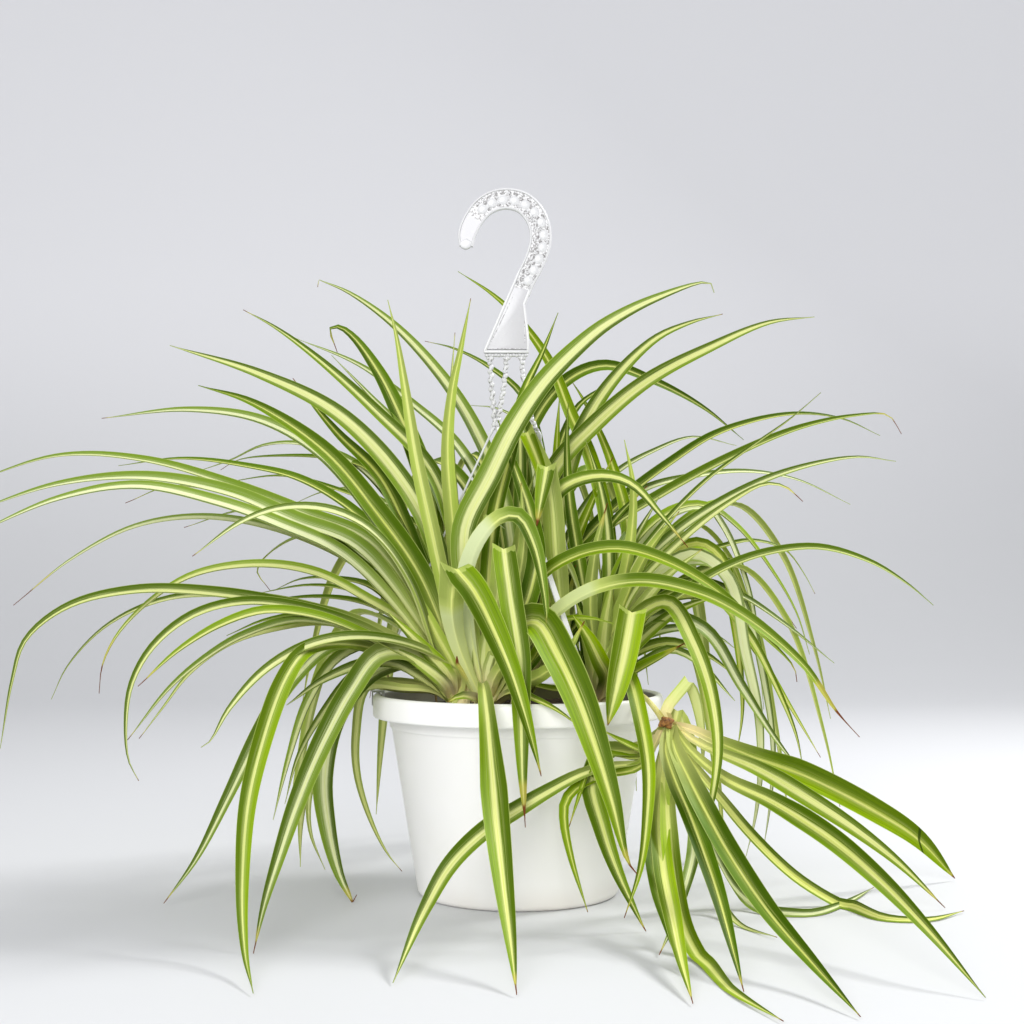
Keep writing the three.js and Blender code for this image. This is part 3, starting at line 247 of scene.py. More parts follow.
    ("c", 11, 0.35, 40, [(66, 155), (88, 195), (122, 213), (152, 205), (185, 184), (219, 157)], GREY),
    ("c", 9.2, 0.35, 90, [(64, 160), (86, 210), (122, 231), (150, 226), (172, 211), (193, 181)], DEEP),
    ("c", 9.2, 0.35, 10, [(58, 160), (70, 222), (100, 259), (128, 267), (152, 252), (175, 223),
     (193, 192), (202, 163)], DRAWN),
    ("c", 9.1, 0.49, 55, [(60, 160), (74, 222), (104, 259), (130, 265), (143, 250), (154, 225),
     (162, 198), (167, 160), (170, 125)], tones(0.6, 0.6, 0.9)),
    # Right, hanging
    ("c", 10, 0.7, -110, [(64, 152, -14), (80, 187, -30), (103, 199, -48), (121, 172, -78),
     (133, 138, -100), (138, 100, -113), (135, 70, -116), (130, 48, -114), (126, 24)],
     tones(0.6, 0.32, 0.2)),
    ("c", 8.1, 0.7, 32, [(64, 155), (86, 214), (124, 240), (142, 228), (149, 190), (154, 150),
     (155, 122), (151, 94)], tones(1, 0.36, 0)),
    ("c", 9, 0.7, 8, [(64, 152), (86, 208), (122, 232), (146, 215), (157, 165), (166, 122), (167, 80),
     (163, 48), (157, 24)], tones(0.8, 0.7, 0.8)),
    ("c", 8.1, 0.6, 60, [(62, 155), (90, 216), (136, 226), (159, 190), (170, 145), (176, 100),
     (174, 62), (169, 28)], tones(0.6, 0.5, 0.9)),
    ("c", 8.1, 0.6, 22, [(66, 152), (92, 196), (128, 208), (157, 180), (178, 142), (192, 108),
     (197, 84)], tones(0.6, 0.34, 0.1)),
    ("c", 7, 0.6, 75, [(64, 150), (90, 195), (135, 202), (165, 165), (190, 124), (209, 92)],
     tones(0.9, 0.5, 0, brown=6)),
    ("c", 10, 0.6, 0, [(66, 150), (92, 188), (128, 181), (155, 140), (177, 106), (197, 80)], GREY),
    ("c", 8, 0.5, 90, [(62, 150), (82, 172), (110, 181), (135, 177), (152, 166)], GREY),
    ("c", 9, 0.5, 40, [(62, 148), (80, 163), (105, 171), (130, 163), (152, 147)], tones(0.6, 0.3, 0.2)),
    ("c", 8, 0.5, -20, [(64, 144), (84, 155), (105, 166), (124, 158), (150, 131)], DRAWN),
    ("c", 9, 0.5, -35, [(64, 140), (80, 151), (100, 162), (116, 171)], FRESH),
    # Front
    ("b", 15, 0.4, TABLE, [(-25, 143, -68), (-23, 135, -108), (-19, 95, -132), (-15, 50, -165),
     (-10, 5, -205), (-5, -35, -240), (-1, -70)], tones(0.47, 0.22, 0.2, brown=8, foot=0.08)),
    ("b", 14, 0.7, -128, [(-16, 190, -60), (-10, 236, -78), (-5, 200, -98), (1, 160, -110),
     (2, 120, -118), (3, 80, -124), (5, 44)],
     tones(0.45, 0.2, 0.3, brown=14, blunt=2.4, foot=0.2, turned=0.3)),
    ("b", 17, 0.75, -123, [(-42, 172, -66), (-46, 200, -84), (-43, 222, -92), (-31, 208, -99),
     (-8, 160, -114), (3, 128, -120), (12, 95, -122), (16, 79)],
     tones(0.4, 0.13, 0.1, brown=4, foot=0.2, turned=0.385, under=2)),
    ("b", 11, 0.6, -56, [(-30, 175), (-35, 228), (-21, 259), (-9, 250)], GREY),
    ("b", 13, 0.6, -100, [(-32, 170), (-36, 215), (-27, 242), (-12, 258), (0, 259), (11, 240),
     (18, 208), (21, 175)], tones(0.2, 0.14, 0.25, brown=6, turned=0.62, foot=0.3, under=2.4)),
    ("b", 21, 0.6, -154, [(-10, 152, -58), (0, 182, -80), (13, 186, -96), (28, 162, -112),
     (42, 132, -126), (54, 98, -140), (65, 62, -148), (76, 20, -153), (82, 12)],
     tones(0.5, 0.16, 0.1, brown=8)),
    ("d", 9, -0.6, -10, [(6, 170), (12, 218), (22, 236), (34, 226), (43, 204), (49, 186)],
     tones(0.3, 0.3, 1)),
    ("c", 16, 0.8, -100, [(66, 155, -40), (76, 178, -62), (79, 192, -76), (73, 160, -92), (62, 114)],
     tones(0.9, 0.25, 0.2, blunt=5, foot=0.2, turned=0.4)),
    ("c", 11, 0.95, -76, [(62, 146, -40), (56, 160, -60), (48, 176, -70), (38, 190)],
     tones(1, 0.22, 0, blunt=3, brown=0, show=1)),
    ("c", 9, 0.6, -132, [(68, 142, -42), (77, 147, -78), (84, 122, -108), (90, 85, -126),
     (89, 50, -136), (84, 15, -138), (73, -18)], tones(0.75, 0.2, 0.1, brown=5)),
    ("b", 7, 0.5, -66, [(4, 152), (30, 186), (50, 188), (67, 184)], FRESH),
    ("b", 5, 0.5, -112, [(-6, 137, -70), (12, 132, -98), (28, 124, -108), (44, 112)],
     tones(0.8, 0.3, 0)),
    ("c", 6, 0.4, -30, [(44, 137), (24, 139), (4, 144), (-12, 150)], FRESH),
    ("b", 7, 0.6, -74, [(-29, 132.5, -62), (-40, 134.5, -72), (-49, 130)], tones(0.9, 0.3, 0.2)),
    # Pale feet that fan out from the growing points
    ("b", 9, 0.85, -52, [(-23, 155, -52), (-20, 178), (-14, 215)], tones(0.7, 0.6, 0.5)),
    ("b", 8, 0.85, -56, [(-20, 152, -56), (-13, 172), (-2, 200)], tones(0.7, 0.55, 0.6)),
    ("b", 8, 0.85, -50, [(-28, 155, -52), (-31, 180), (-34, 215)], tones(0.7, 0.5, 0.4)),
    ("b", 8, 0.85, -44, [(-32, 152, -50), (-42, 172), (-54, 200)], tones(0.7, 0.4, 0.2)),
    ("b", 8, 0.85, -60, [(-16, 148, -60), (-4, 162), (10, 184)], FRESH),
    ("a", 9, 0.85, -36, [(-44, 152, -34), (-56, 176), (-72, 210)], tones(0.9, 0.3, 0)),
    ("a", 9, 0.85, -40, [(-48, 148, -38), (-66, 168), (-90, 192)], tones(0.8, 0.4, 0.2)),
    ("a", 8, 0.85, -30, [(-40, 155, -32), (-44, 185), (-52, 220)], FRESH),
    ("a", 8, 0.85, -46, [(-52, 144, -42), (-70, 158), (-92, 170)], tones(0.7, 0.5, 0.3)),
    ("c", 9, 0.85, -24, [(58, 152, -18), (60, 180), (66, 216)], tones(0.8, 0.4, 0.2)),
    ("c", 8, 0.85, -28, [(52, 150, -22), (48, 172), (40, 200)], FRESH),
    ("c", 8, 0.85, -20, [(62, 150, -18), (74, 170), (92, 190)], tones(0.9, 0.3, 0)),
    ("c", 8, 0.85, -34, [(56, 146, -26), (62, 162), (74, 178)], tones(0.6, 0.5, 0.5)),
    ("c", 9, 0.7, -40, [(62, 156, -16), (78, 186), (100, 214), (128, 236)], tones(0.7, 0.4, 0.4)),
    ("c", 9, 0.7, -30, [(60, 160, -14), (72, 196), (90, 234), (112, 262)], FRESH),
    ("c", 8, 0.7, 0, [(58, 160), (66, 200), (80, 240), (98, 272)], tones(0.3, 0.3, 0.5)),
    ("c", 9, 0.7, -10, [(66, 150), (86, 174), (112, 194), (140, 204)], tones(0.8, 0.3, 0.3)),
    ("c", 9, 0.7, -34, [(54, 160, -16), (50, 196), (54, 236), (62, 268)], DEEP),
    ("d", 10, 0.7, 30, [(20, 165), (40, 215), (66, 255), (90, 280)], DEEP),
    ("d", 10, 0.7, 50, [(16, 165), (34, 225), (52, 270), (66, 300)], FRESH),
    ("d", 9, 0.7, 60, [(22, 160), (56, 200), (96, 228), (130, 240)], DEEP),
    ("d", 9, 0.7, 30, [(-2, 165), (-2, 220), (4, 262), (12, 290)], DEEP),
    # Low and dark, deep between the clusters: their deep tints are painted shade of the dense middle
    ("d", 9, 0.7, 20, [(10, 165), (8, 200), (2, 232)], DEEP),
    ("d", 10, 0.7, 10, [(22, 160), (34, 190), (40, 225)], DEEP),
    ("b", 9, 0.7, -60, [(-8, 150), (4, 175), (10, 205)], DEEP),
    ("b", 10, 0.7, -40, [(-4, 145), (16, 165), (30, 180)], DEEP),
    ("c", 9, 0.7, 10, [(44, 150), (34, 175), (30, 205)], DEEP),
    ("c", 10, 0.7, 20, [(50, 150), (46, 190), (38, 230)], DEEP),
    ("d", 8, 0.7, 30, [(-4, 165), (-10, 200), (-14, 240)], DEEP),
    ("a", 9, 0.7, 20, [(-30, 160), (-18, 190), (-8, 222)], DEEP),
    ("c", 8, 0.7, -10, [(62, 150), (66, 180), (64, 214)], FRESH),
    ("d", 9, 0.7, 40, [(26, 160), (46, 180), (64, 196)], DEEP),
    ("d", 9, 0.7, 0, [(2, 155), (-12, 180), (-24, 204)], DEEP),
    ("c", 9, 0.7, 0, [(48, 150), (56, 176), (66, 200)], DEEP),
    ("b", 9, 0.85, -98, [(-2, 140, -66), (18, 150, -92), (33, 163, -98), (46, 186)], FRESH),
    ("b", 9, 0.85, -60, [(-14, 165, -58), (-2, 205, -62), (4, 240, -60), (2, 282)], DEEP),
    ("b", 4, 0.8, -64, [(-36, 148, -57), (-43, 159, -61), (-39, 168)], tones(0.5, 0.1, 0, brown=13)),
]

# The young plant on the runner.
PLANTLET_LEAVES = [
    ("p", 12, 0.5, TABLE, [(86, 90, -88), (65, 86, -98), (45, 81, -105), (20, 68, -113), (0, 56, -118),
     (-22, 42, -127), (-45, 20, -150), (-64, -12, -190), (-86, -62)], tones(0.35, 0.3, 0.3, foot=0.1)),
    ("p", 7, 0.5, -122, [(84, 86, -92), (60, 80, -99), (43, 73, -104), (33, 62, -108), (32, 48, -110),
     (37, 22, -114), (48, -14)], FRESH),
    ("p", 5, 0.5, -112, [(84, 92, -86), (62, 94, -94), (49, 84, -102), (42, 65, -108), (35, 44)],
     {**FRESH, "brown": 4}),
    ("p", 12, 0.5, -124, [(84, 97, -80), (60, 95, -92), (51, 76, -103), (58, 45, -110), (68, 15, -118),
     (88, -28)], tones(0.4, 0.22, 0.2)),
    ("p", 15.5, 0.8, TABLE, [(118, 112, -74), (138, 103, -66), (162, 93, -48), (200, 79, -24),
     (245, 56, 4), (276, 36, 22), (301, 9)],
     tones(0.8, 0.11, 0, crack=44, brown=4, foot=0.25, blunt=4)),
    ("p", 11, 0.8, TABLE, [(118, 106, -76), (135, 97, -74), (166, 84, -68), (200, 64, -62),
     (235, 41, -58), (263, 19, -56), (294, -11)], tones(0.6, 0.34, 0.25, foot=0.25)),
    ("p", 12.5, 0.7, TABLE, [(118, 98, -84), (142, 78, -98), (175, 62, -118), (212, 39, -150),
     (248, 9, -195), (282, -26, -240), (321, -72)], tones(0.3, 0.24, 0.1, foot=0.25)),
    ("p", 9, 0.5, TABLE, [(116, 94, -66), (136, 68, -58), (162, 37, -50), (192, 9, -46),
     (222, -9, TABLE), (250, -18, TABLE), (281, -19, TABLE), (307, -13)], tones(0.3, 0.45, 0, brown=3)),
    ("p", 10.5, 0.6, TABLE, [(102, 98, -100), (108, 78, -118), (119, 52, -142), (130, 22, -172),
     (139, -6, -202), (147, -36, -234), (155, -68)], tones(0.04, 0.1, 0, brown=6)),
    ("p", 12, 0.6, TABLE, [(108, 100, -98), (118, 78, -124), (134, 47, -152), (151, 18, -184),
     (173, -14, -220), (202, -48, -262), (235, -85)], tones(0.13, 0.1, 0, brown=3)),
    ("p", 11, 0.6, TABLE, [(101, 84, -98), (98, 50, -112), (100, 18, -142), (106, -15, -188),
     (112, -45, -240), (120, -76)], tones(0.9, 0.3, 0.1)),
    ("p", 10, 0.5, TABLE, [(97, 76, -90), (93, 38, -106), (96, 5, -144), (104, -25, -188), (113, -55)],
     DEEP),
    ("p", 10, 0.5, TABLE, [(103, 62, -108), (107, 12, -142), (114, -24, -172), (128, -50, -204),
     (148, -68, TABLE), (182, -88)], tones(0.8, 0.25, 0.1)),
    ("p", 8, 0.5, TABLE, [(112, 84, -72), (121, 55, -92), (121, 28, -118), (114, 0, -146),
     (105, -26, -172), (97, -43)], {**GREY, "brown": 5}),
    ("p", 7, 0.5, TABLE, [(114, 84, -62), (130, 40, -52), (150, 2, -52), (172, -14, TABLE),
     (200, -15, TABLE), (222, -9, TABLE), (245, 3)], {**GREY, "brown": 3}),
    ("p", 6, 0.5, TABLE, [(110, 80, -64), (122, 36, -62), (136, 0, -70), (152, -22, TABLE), (178, -31)],
     CREAM),
    ("p", 7, 0.5, -98, [(90, 97, -84), (74, 102, -92), (58, 111)], FRESH),
    ("p", 7, 0.7, -50, [(102, 123, -74), (109, 134, -72), (118, 144, -70), (123, 131, -62),
     (127, 108, -56), (128, 84)], tones(0.9, 0.75, 0.6, foot=0.8, turned=0.5)),
    ("p", 9, 0.6, -44, [(110, 124), (115, 112), (120, 88), (123, 60)], GREY),
]

# Leaves at the back: growing point, heading in degrees (90 = away from the viewer), reach, top
# height, height of the tip, width.
BACK_LEAVES = [
    ("d", 96, 205, 285, 60, 13), ("d", 70, 225, 262, 40, 12), ("d", 118, 220, 270, 50, 13),
    ("d", 84, 170, 330, 170, 11), ("d", 52, 190, 300, 130, 12), ("d", 134, 195, 305, 120, 12),
    ("d", 104, 250, 225, 20, 13), ("d", 76, 255, 215, 24, 12), ("d", 60, 150, 300, 200, 9),
    ("d", 122, 140, 310, 220, 9), ("d", 90, 110, 330, 250, 9), ("a", 112, 215, 215, 30, 12),
    ("a", 128, 235, 245, 120, 12), ("a", 138, 205, 190, 8, 11), ("a", 105, 175, 290, 150, 11),
    ("c", 78, 215, 235, 45, 12), ("c", 60, 235, 255, 60, 13), ("c", 44, 245, 235, 30, 12),
    ("c", 30, 235, 270, 110, 12), ("c", 52, 190, 195, 8, 11), ("c", 20, 215, 225, 50, 11),
    ("c", 78, 175, 236, 130, 11), ("c", 66, 150, 250, 160, 9), ("c", 36, 180, 255, 150, 9),
]
# Their shares of the reach and of the rise. Past half its reach a leaf droops and is drawn in.
BACK_RISE = [(0, 0), (0.12, 0.5), (0.3, 0.88), (0.5, 1), (0.72, 1), (0.9, 1), (1, 1)]
BACK_DROOP = 1.8
BACK_DRAWN_IN = 0.12
BACK_LOWEST = 2
BACK_FACING = 0.2


def sighted(across, up, depth):
    """The place in space of a point seen in the plane of the pot's axis, at the given depth."""
    seen = Vector((across, 0, up))
    return EYE + (seen - EYE) * ((depth - EYE.y) / -EYE.y)


def table_depth(up):
    """The depth at which a sighted point lies on the table."""
    return -EYE.y * ((EYE.z - TABLE_REST) / (EYE.z - up) - 1)


def root_place(crown, tip, stagger):
    """Leaves leave the stock side by side, each from the side it leans to."""
    out = tip - crown
    out.z = 0
    place = crown + out.normalized() * ROOT_SPREAD
    place.z = crown.z + ROOT_STEP * (stagger % ROOT_LEVELS)
    return place


def leaf_line(crown_name, tip_depth, points):
    """The line a leaf follows, from its growing point to its tip."""
    crown = CROWNS[crown_name]
    scale = -EYE.y / (crown.y - EYE.y)
    start = [EYE.x + (crown.x - EYE.x) * scale, EYE.z + (crown.z - EYE.z) * scale]
    seen = [start, *points]
    last = len(points)
    along = [0.0]
    for before, after in zip(seen, seen[1:]):
        along.append(along[-1] + math.hypot(after[0] - before[0], after[1] - before[1]))
    depths = [crown.y]
    for i, (_, up, *given) in enumerate(points, 1):
        depth = tip_depth if i == last else (given or [None])[0]
        depths.append(table_depth(up) if depth == TABLE else depth)
    known = [i for i, depth in enumerate(depths) if depth is not None]
    if known == [0, last]:
        shares = [(far / along[last]) ** DEPTH_EASE for far in along]
        depths = [crown.y + (depths[last] - crown.y) * share for share in shares]
    else:
        depths = np.interp(along, [along[i] for i in known], [depths[i] for i in known]).tolist()
    line = [sighted(point[0], point[1], depth) for point, depth in zip(seen, depths)]
    line[0] = root_place(crown, line[last], last)
    return line


def back_line(crown, heading, reach, top, tip):
    """The line of a leaf given by heading, reach and heights."""
    angle = math.radians(heading)
    out = Vector((math.cos(angle), math.sin(angle), 0))
    line = []
    for share, rise in BACK_RISE:
        past = max(0, 2 * share - 1)
        height = crown.z + (top - crown.z) * rise - (top - tip) * past**BACK_DROOP
        place = crown + out * (reach * share * (1 - BACK_DRAWN_IN * past))
        place.z = max(height, BACK_LOWEST)
        line.append(place)
    return line


def unit(rows):
    """Rows of vectors at length 1."""
    return rows / np.maximum(np.linalg.norm(rows, axis=-1, keepdims=True), 1e-9)


def lengths_along(line):
    """The length of a line up to each of its points."""
    return np.r_[0, np.cumsum(np.linalg.norm(np.diff(line, axis=0), axis=1))]


def curve_through(points, spacing, between=12):
    """A smooth curve through points, at even steps; between is how finely it is worked out."""
    points = [2 * points[0] - points[1], *points, 2 * points[-1] - points[-2]]
    fine = []
    for p0, p1, p2, p3 in zip(points, points[1:], points[2:], points[3:]):
        knots = [0.0]
        for a, b in ((p0, p1), (p1, p2), (p2, p3)):
            knots.append(knots[-1] + max(1e-6, math.sqrt(np.linalg.norm(b - a))))
        t0, t1, t2, t3 = knots
        for t in np.linspace(t1, t2, between, endpoint=False):
            a1 = (p0 * (t1 - t) + p1 * (t - t0)) / (t1 - t0)
            a2 = (p1 * (t2 - t) + p2 * (t - t1)) / (t2 - t1)
            a3 = (p2 * (t3 - t) + p3 * (t - t2)) / (t3 - t2)
            b1 = (a1 * (t2 - t) + a2 * (t - t0)) / (t2 - t0)
            b2 = (a2 * (t3 - t) + a3 * (t - t1)) / (t3 - t1)
            fine.append((b1 * (t2 - t) + b2 * (t - t1)) / (t2 - t1))
    fine.append(points[-2])
    fine = np.array(fine)
    lengths = lengths_along(fine)
    count = max(3, round(lengths[-1] / spacing))
    at = np.linspace(0, lengths[-1], count + 1)
    return np.stack([np.interp(at, lengths, column) for column in fine.T], 1)


def smooth_line(line, spacing, fold=None):
    """A smooth curve through a line, the length up to each point, and the lengths up to its folds.

    A turn of more than the fold angle stays a crease.
    """
    points = [np.array(p, float) for p in line]
    runs, start = [], 0
    for i in range(1, len(points) - 1):
        before, after = unit(points[i] - points[i - 1]), unit(points[i + 1] - points[i])
        if fold and before @ after < math.cos(math.radians(fold)):
            runs.append(points[start : i + 1])
            start = i
    runs.append(points[start:])
    parts = [curve_through(run, spacing) for run in runs]
    curve = np.concatenate([parts[0], *(part[1:] for part in parts[1:])])
    lengths = lengths_along(curve)
    ends = np.cumsum([len(part) - 1 for part in parts])[:-1]
    return curve, lengths, [lengths[i] for i in ends]


# ---------------------------------------------------------------- shapes in general


def turns(count):
    """The angles of equal steps round a circle."""
    return [k / count * 2 * math.pi for k in range(count)]


def circle(radius, height, count, x=0, y=0):
    """Points of a level circle round x, y."""
    return [(x + radius * math.cos(turn), y + radius * math.sin(turn), height) for turn in turns(count)]


def ring_faces(rings, around, first=0):
    """Quads between rings of points, ring by ring, where first is the number of the first point."""
    for low in range(first, first + (rings - 1) * around, around):
        high = low + around
        for k in range(around):
            j = (k + 1) % around
            yield (low + k, low + j, high + j, high + k)


def closed_rings(rings, around):
    """The faces of rings of points, with both ends closed."""
    ends = [tuple(reversed(range(around))), tuple(range((rings - 1) * around, rings * around))]
    return [*ring_faces(rings, around), *ends]


def square(x0, y0, x1, y1):
    """The corners of an upright rectangle, in the order of a quad's points."""
    return ((x0, y0), (x1, y0), (x1, y1), (x0, y1))


def only(made):
    """Selects one object and nothing else."""
    bpy.ops.object.select_all(action="DESELECT")
    made.select_set(True)
    bpy.context.view_layer.objects.active = made


def edit_all(made):
    """Opens one object's mesh for editing, with all of it selected."""
    only(made)
    bpy.ops.object.mode_set(mode="EDIT")
    bpy.ops.mesh.select_all(action="SELECT")


def finish_mesh(made, angle=35):
    """Faces outwards and smooth, apart from edges sharper than the angle."""
    edit_all(made)
    bpy.ops.mesh.normals_make_consistent(inside=False)
    bpy.ops.object.mode_set(mode="OBJECT")
    bpy.ops.object.shade_smooth_by_angle(angle=math.radians(angle))


def linked(name, mesh):
    """A new object in the scene, from a mesh."""
    made = bpy.data.objects.new(name, mesh)
    bpy.context.collection.objects.link(made)
    return made


def object_of(name, places, faces):
    """A mesh object from points in millimetres and faces."""
    mesh = bpy.data.meshes.new(name)
    mesh.from_pydata([tuple(v * MM for v in place) for place in places], [], faces)
    return linked(name, mesh)


def mark(made, name, found):
    """Stores a value on each point of a piece: one for all, or a list."""
    values = np.broadcast_to(np.array(found, np.float32), len(made.data.vertices))
    layer = made.data.attributes.new(name, "FLOAT", "POINT")
    layer.data.foreach_set("value", np.ascontiguousarray(values))


def join(name, made):
    """Several objects as one, under one name."""
    bpy.ops.object.select_all(action="DESELECT")
    for each in made:
        each.select_set(True)
    bpy.context.view_layer.objects.active = made[0]
    bpy.ops.object.join()
    made[0].name = made[0].data.name = name
    return made[0]


def tube(name, line, radii, sides=10, spacing=3.0):
    """A round stem along a smooth line."""
    fine, _, _ = smooth_line(line, spacing)
    tangents = unit(np.gradient(fine, axis=0))
    radius = np.interp(np.linspace(0, 1, len(fine)), np.linspace(0, 1, len(radii)), radii)
    side = unit(np.cross(tangents[0], np.array([0.3, 1.0, 0.2])))
    places = []
    for point, tangent, wide in zip(fine, tangents, radius):
        side = unit(side - tangent * (side @ tangent))
        other = np.cross(tangent, side)
        rays = [side * math.cos(turn) + other * math.sin(turn) for turn in turns(sides)]
        places += [point + ray * wide for ray in rays]
    return object_of(name, places, closed_rings(len(fine), sides))


def prism(name, outline, thick, rounding):
    """A flat outline in the x-z plane with a thickness and rounded edges."""
    made = object_of(name, [(x, -thick / 2, z) for x, z in outline], [tuple(range(len(outline)))])
    edit_all(made)
    bpy.ops.mesh.extrude_region_move(TRANSFORM_OT_translate={"value": (0, thick * MM, 0)})
    bpy.ops.mesh.select_all(action="SELECT")
    bpy.ops.mesh.normals_make_consistent(inside=False)
    bpy.ops.mesh.bevel(offset=rounding * MM, segments=3, affect="EDGES")
    bpy.ops.object.mode_set(mode="OBJECT")
    return made


# ---------------------------------------------------------------- leaf blades

# Places across a blade: -1 and 1 are its edges. The upper side has more, for the channel.
UPPER_ACROSS = (-1, -0.82, -0.58, -0.3, 0, 0.3, 0.58, 0.82, 1)
UNDER_ACROSS = (1, 0.6, 0, -0.6, -1)
ACROSS = np.array([*UPPER_ACROSS, *UNDER_ACROSS])
# Length of a step along a blade, and the turn in degrees past which its line is creased.
SEGMENT = 6.5
FOLD_ANGLE = 95
# How clearly a blade must lean to one side to be turned by that, and how often turns are eased.
SIDE_SURE = 0.25
SIDE_SMOOTHING = 6
# A blade is this much wider than its row says, and nowhere narrower than the least width; how soon
# its root widens, and the share of the length where its point starts.
WIDER = 1.12
LEAST_WIDTH = 0.5
ROOT_WIDENS = 2.0
POINT_STARTS = 0.4
# The channel: the curve of its section, the height of the blade's own line in it, how much deeper
# it is at the root and how soon that fades, and how much flatter it is at the tip.
CHANNEL_CURVE = 1.1
CHANNEL_LINE = 0.45
CHANNEL_ROOT = 0.16
CHANNEL_FADES = 14
CHANNEL_TIP = 0.4
# At a fold the channel goes flat and the edges stand out, each within a length of its own.
FOLD_FLAT = 0.97
FOLD_FLAT_WITHIN = 13
FOLD_EARS = 0.24
FOLD_EARS_WITHIN = 5
# Thickness: the least, what full width adds, and how much thinner the edges are.
THIN = 0.28
THICKER = 0.32
THIN_EDGES = 0.6
# A dry tip narrows from a little before its brown part.
DRY_FROM = 1.3
DRY_NARROWS = 0.55
# The least height over the table, and the share of the length over which a turned leaf changes.
OVER_TABLE = 0.3
TURN_WITHIN = 0.08
# Places on the map, in mm of leaf: gaps, room for the ends of a blade, and the ends' faces.
MAP_GAP = 0.8
SHELF_GAP = 1.2
END_ROOM = 4
ROOT_END, TIP_END = 1.0, 2.2
END_STEP = 0.6
END_FACE = (0.5, 0.8)
# Values kept on the points of a blade: those of each point, then those of the whole leaf.
POINT_VALUES = ("across", "along", "root_mm", "tip_mm", "under")
LEAF_VALUES = ("tint", "band", "pale", "brown", "crack")
# The stock that the leaves sheathe: radius and height of its rings.
STOCK_LEVELS = [(7.4, 113), (7.8, 125), (6, 132), (3.8, 138), (1, 141)]
STOCK_SIDES = 16
STOCK_VALUES = {"across": 0, "along": 0, "root_mm": 0, "tip_mm": 300, "under": 0,
                "tint": 0.8, "band": 0.5, "pale": 0.2, "brown": 0, "crack": 0}
STOCK_FACE = (3, 9)
STOCK_ENDS = (4, 16)
STOCK_END_RADII = (1.8, 1.5)

# The habit of each growing point: range of tint, range of band, range of paleness. The low tints of the
# back point d are partly painted shade, as its leaves sit in shade.
HABITS = {
    "a": ((0.2, 0.9), (0.2, 0.52), (0.0, 0.7)),
    "b": ((0.1, 0.7), (0.12, 0.3), (0.0, 0.4)),
    "c": ((0.3, 1.0), (0.14, 0.42), (0.0, 0.5)),
    "d": ((0.0, 0.45), (0.12, 0.32), (0.0, 0.4)),
    "p": ((0.3, 1.0), (0.14, 0.34), (0.0, 0.5)),
}
# Lengths of dry tip to choose from, the range of the channel's depth, and steps between seeds.
DRY_TIPS = [0, 0, 0, 2, 4, 8]
CHANNELS = (0.24, 0.4)
SEED_STEP = 101
PLANTLET_SEED = 5


def leaf_character(draw, crown, given):
    """Small seeded differences of one leaf, unless its row gives them."""
    tint, band, pale = (draw.uniform(*limits) for limits in HABITS[crown])
    own = tones(tint, band, pale, brown=draw.choice(DRY_TIPS), channel=draw.uniform(*CHANNELS))
    return {**USUAL, **own, **given}


def blade_sides(line, facing, creases, show):
    """For each point of a line, the direction across the blade and the one out of its upper face."""
    eye = np.array(EYE)
    tangents = unit(np.gradient(line, axis=0))
    for i in creases:
        tangents[i] = tangents[i - 1]
    heading = line[-1] - line[0]
    heading[2] = 0
    level = unit(np.cross(unit(heading), np.array(UP)))
    turned = unit(np.cross(tangents, unit(eye - line)))
    for i in range(1, len(line)):
        if turned[i] @ turned[i - 1] < 0:
            turned[i] *= -1
    agreement = (turned @ level).mean()
    middle = len(line) // 2
    upper = np.cross(turned[middle], tangents[middle])
    shown = math.copysign(1, facing) * math.copysign(1, upper @ (eye - line[middle]))
    sign = math.copysign(1, agreement) if abs(agreement) > SIDE_SURE and not show else shown
    side = level * (1 - abs(facing)) + turned * abs(facing) * sign
    for _ in range(SIDE_SMOOTHING):
        side[1:-1] = (side[:-2] + 2 * side[1:-1] + side[2:]) / 4
    side = unit(side - tangents * (side * tangents).sum(1, keepdims=True))
    return side, unit(np.cross(side, tangents))


def blade_width(width, share, blunt, foot):
    """Width of a blade at a share of its length: narrower root, long point."""
    root = np.minimum(1, foot + ROOT_WIDENS * share)
    point = np.maximum(0, (share - POINT_STARTS) / (1 - POINT_STARTS))
    return np.maximum(LEAST_WIDTH, width * root * (1 - point**blunt))


def blade_ring(line, steps, folds, width, facing, look):
    """The points round a blade, step by step along its line."""
    creases = [int(np.argmin(abs(steps - at))) for at in folds]
    side, out = blade_sides(line, facing, creases, look["show"])
    share = steps / steps[-1]
    wide = blade_width(width * WIDER, share, look["blunt"], look["foot"])
    if look["brown"] > 0:
        dry = np.clip(DRY_FROM - (steps[-1] - steps) / look["brown"], 0, 1)
        wide = np.maximum(LEAST_WIDTH, wide * (1 - DRY_NARROWS * dry))
    depth = wide * (look["channel"] + CHANNEL_ROOT * np.exp(-share * CHANNEL_FADES))
    depth *= 1 - CHANNEL_TIP * share
    ears = np.zeros_like(line)
    for i, at in zip(creases, folds):
        depth *= 1 - FOLD_FLAT * np.exp(-(((steps - at) / FOLD_FLAT_WITHIN) ** 2))
        peak = unit(2 * line[i] - line[max(0, i - 2)] - line[min(len(line) - 1, i + 2)])
        ears += peak * (FOLD_EARS * wide * np.exp(-(((steps - at) / FOLD_EARS_WITHIN) ** 2)))[:, None]
    thick = THIN + THICKER * np.minimum(1, wide / width)
    rows = []
    for k, u in enumerate(ACROSS):
        rise = depth * (abs(u) ** CHANNEL_CURVE - CHANNEL_LINE)
        if k >= len(UPPER_ACROSS):
            rise -= thick * (1 - THIN_EDGES * u * u)
        rows.append(line + side * (wide * u / 2)[:, None] + out * rise[:, None] + ears * abs(u))
    ring = np.stack(rows, 1)
    ring[:, :, 2] += np.maximum(0, OVER_TABLE - ring[:, :, 2].min(1))[:, None]
    return ring


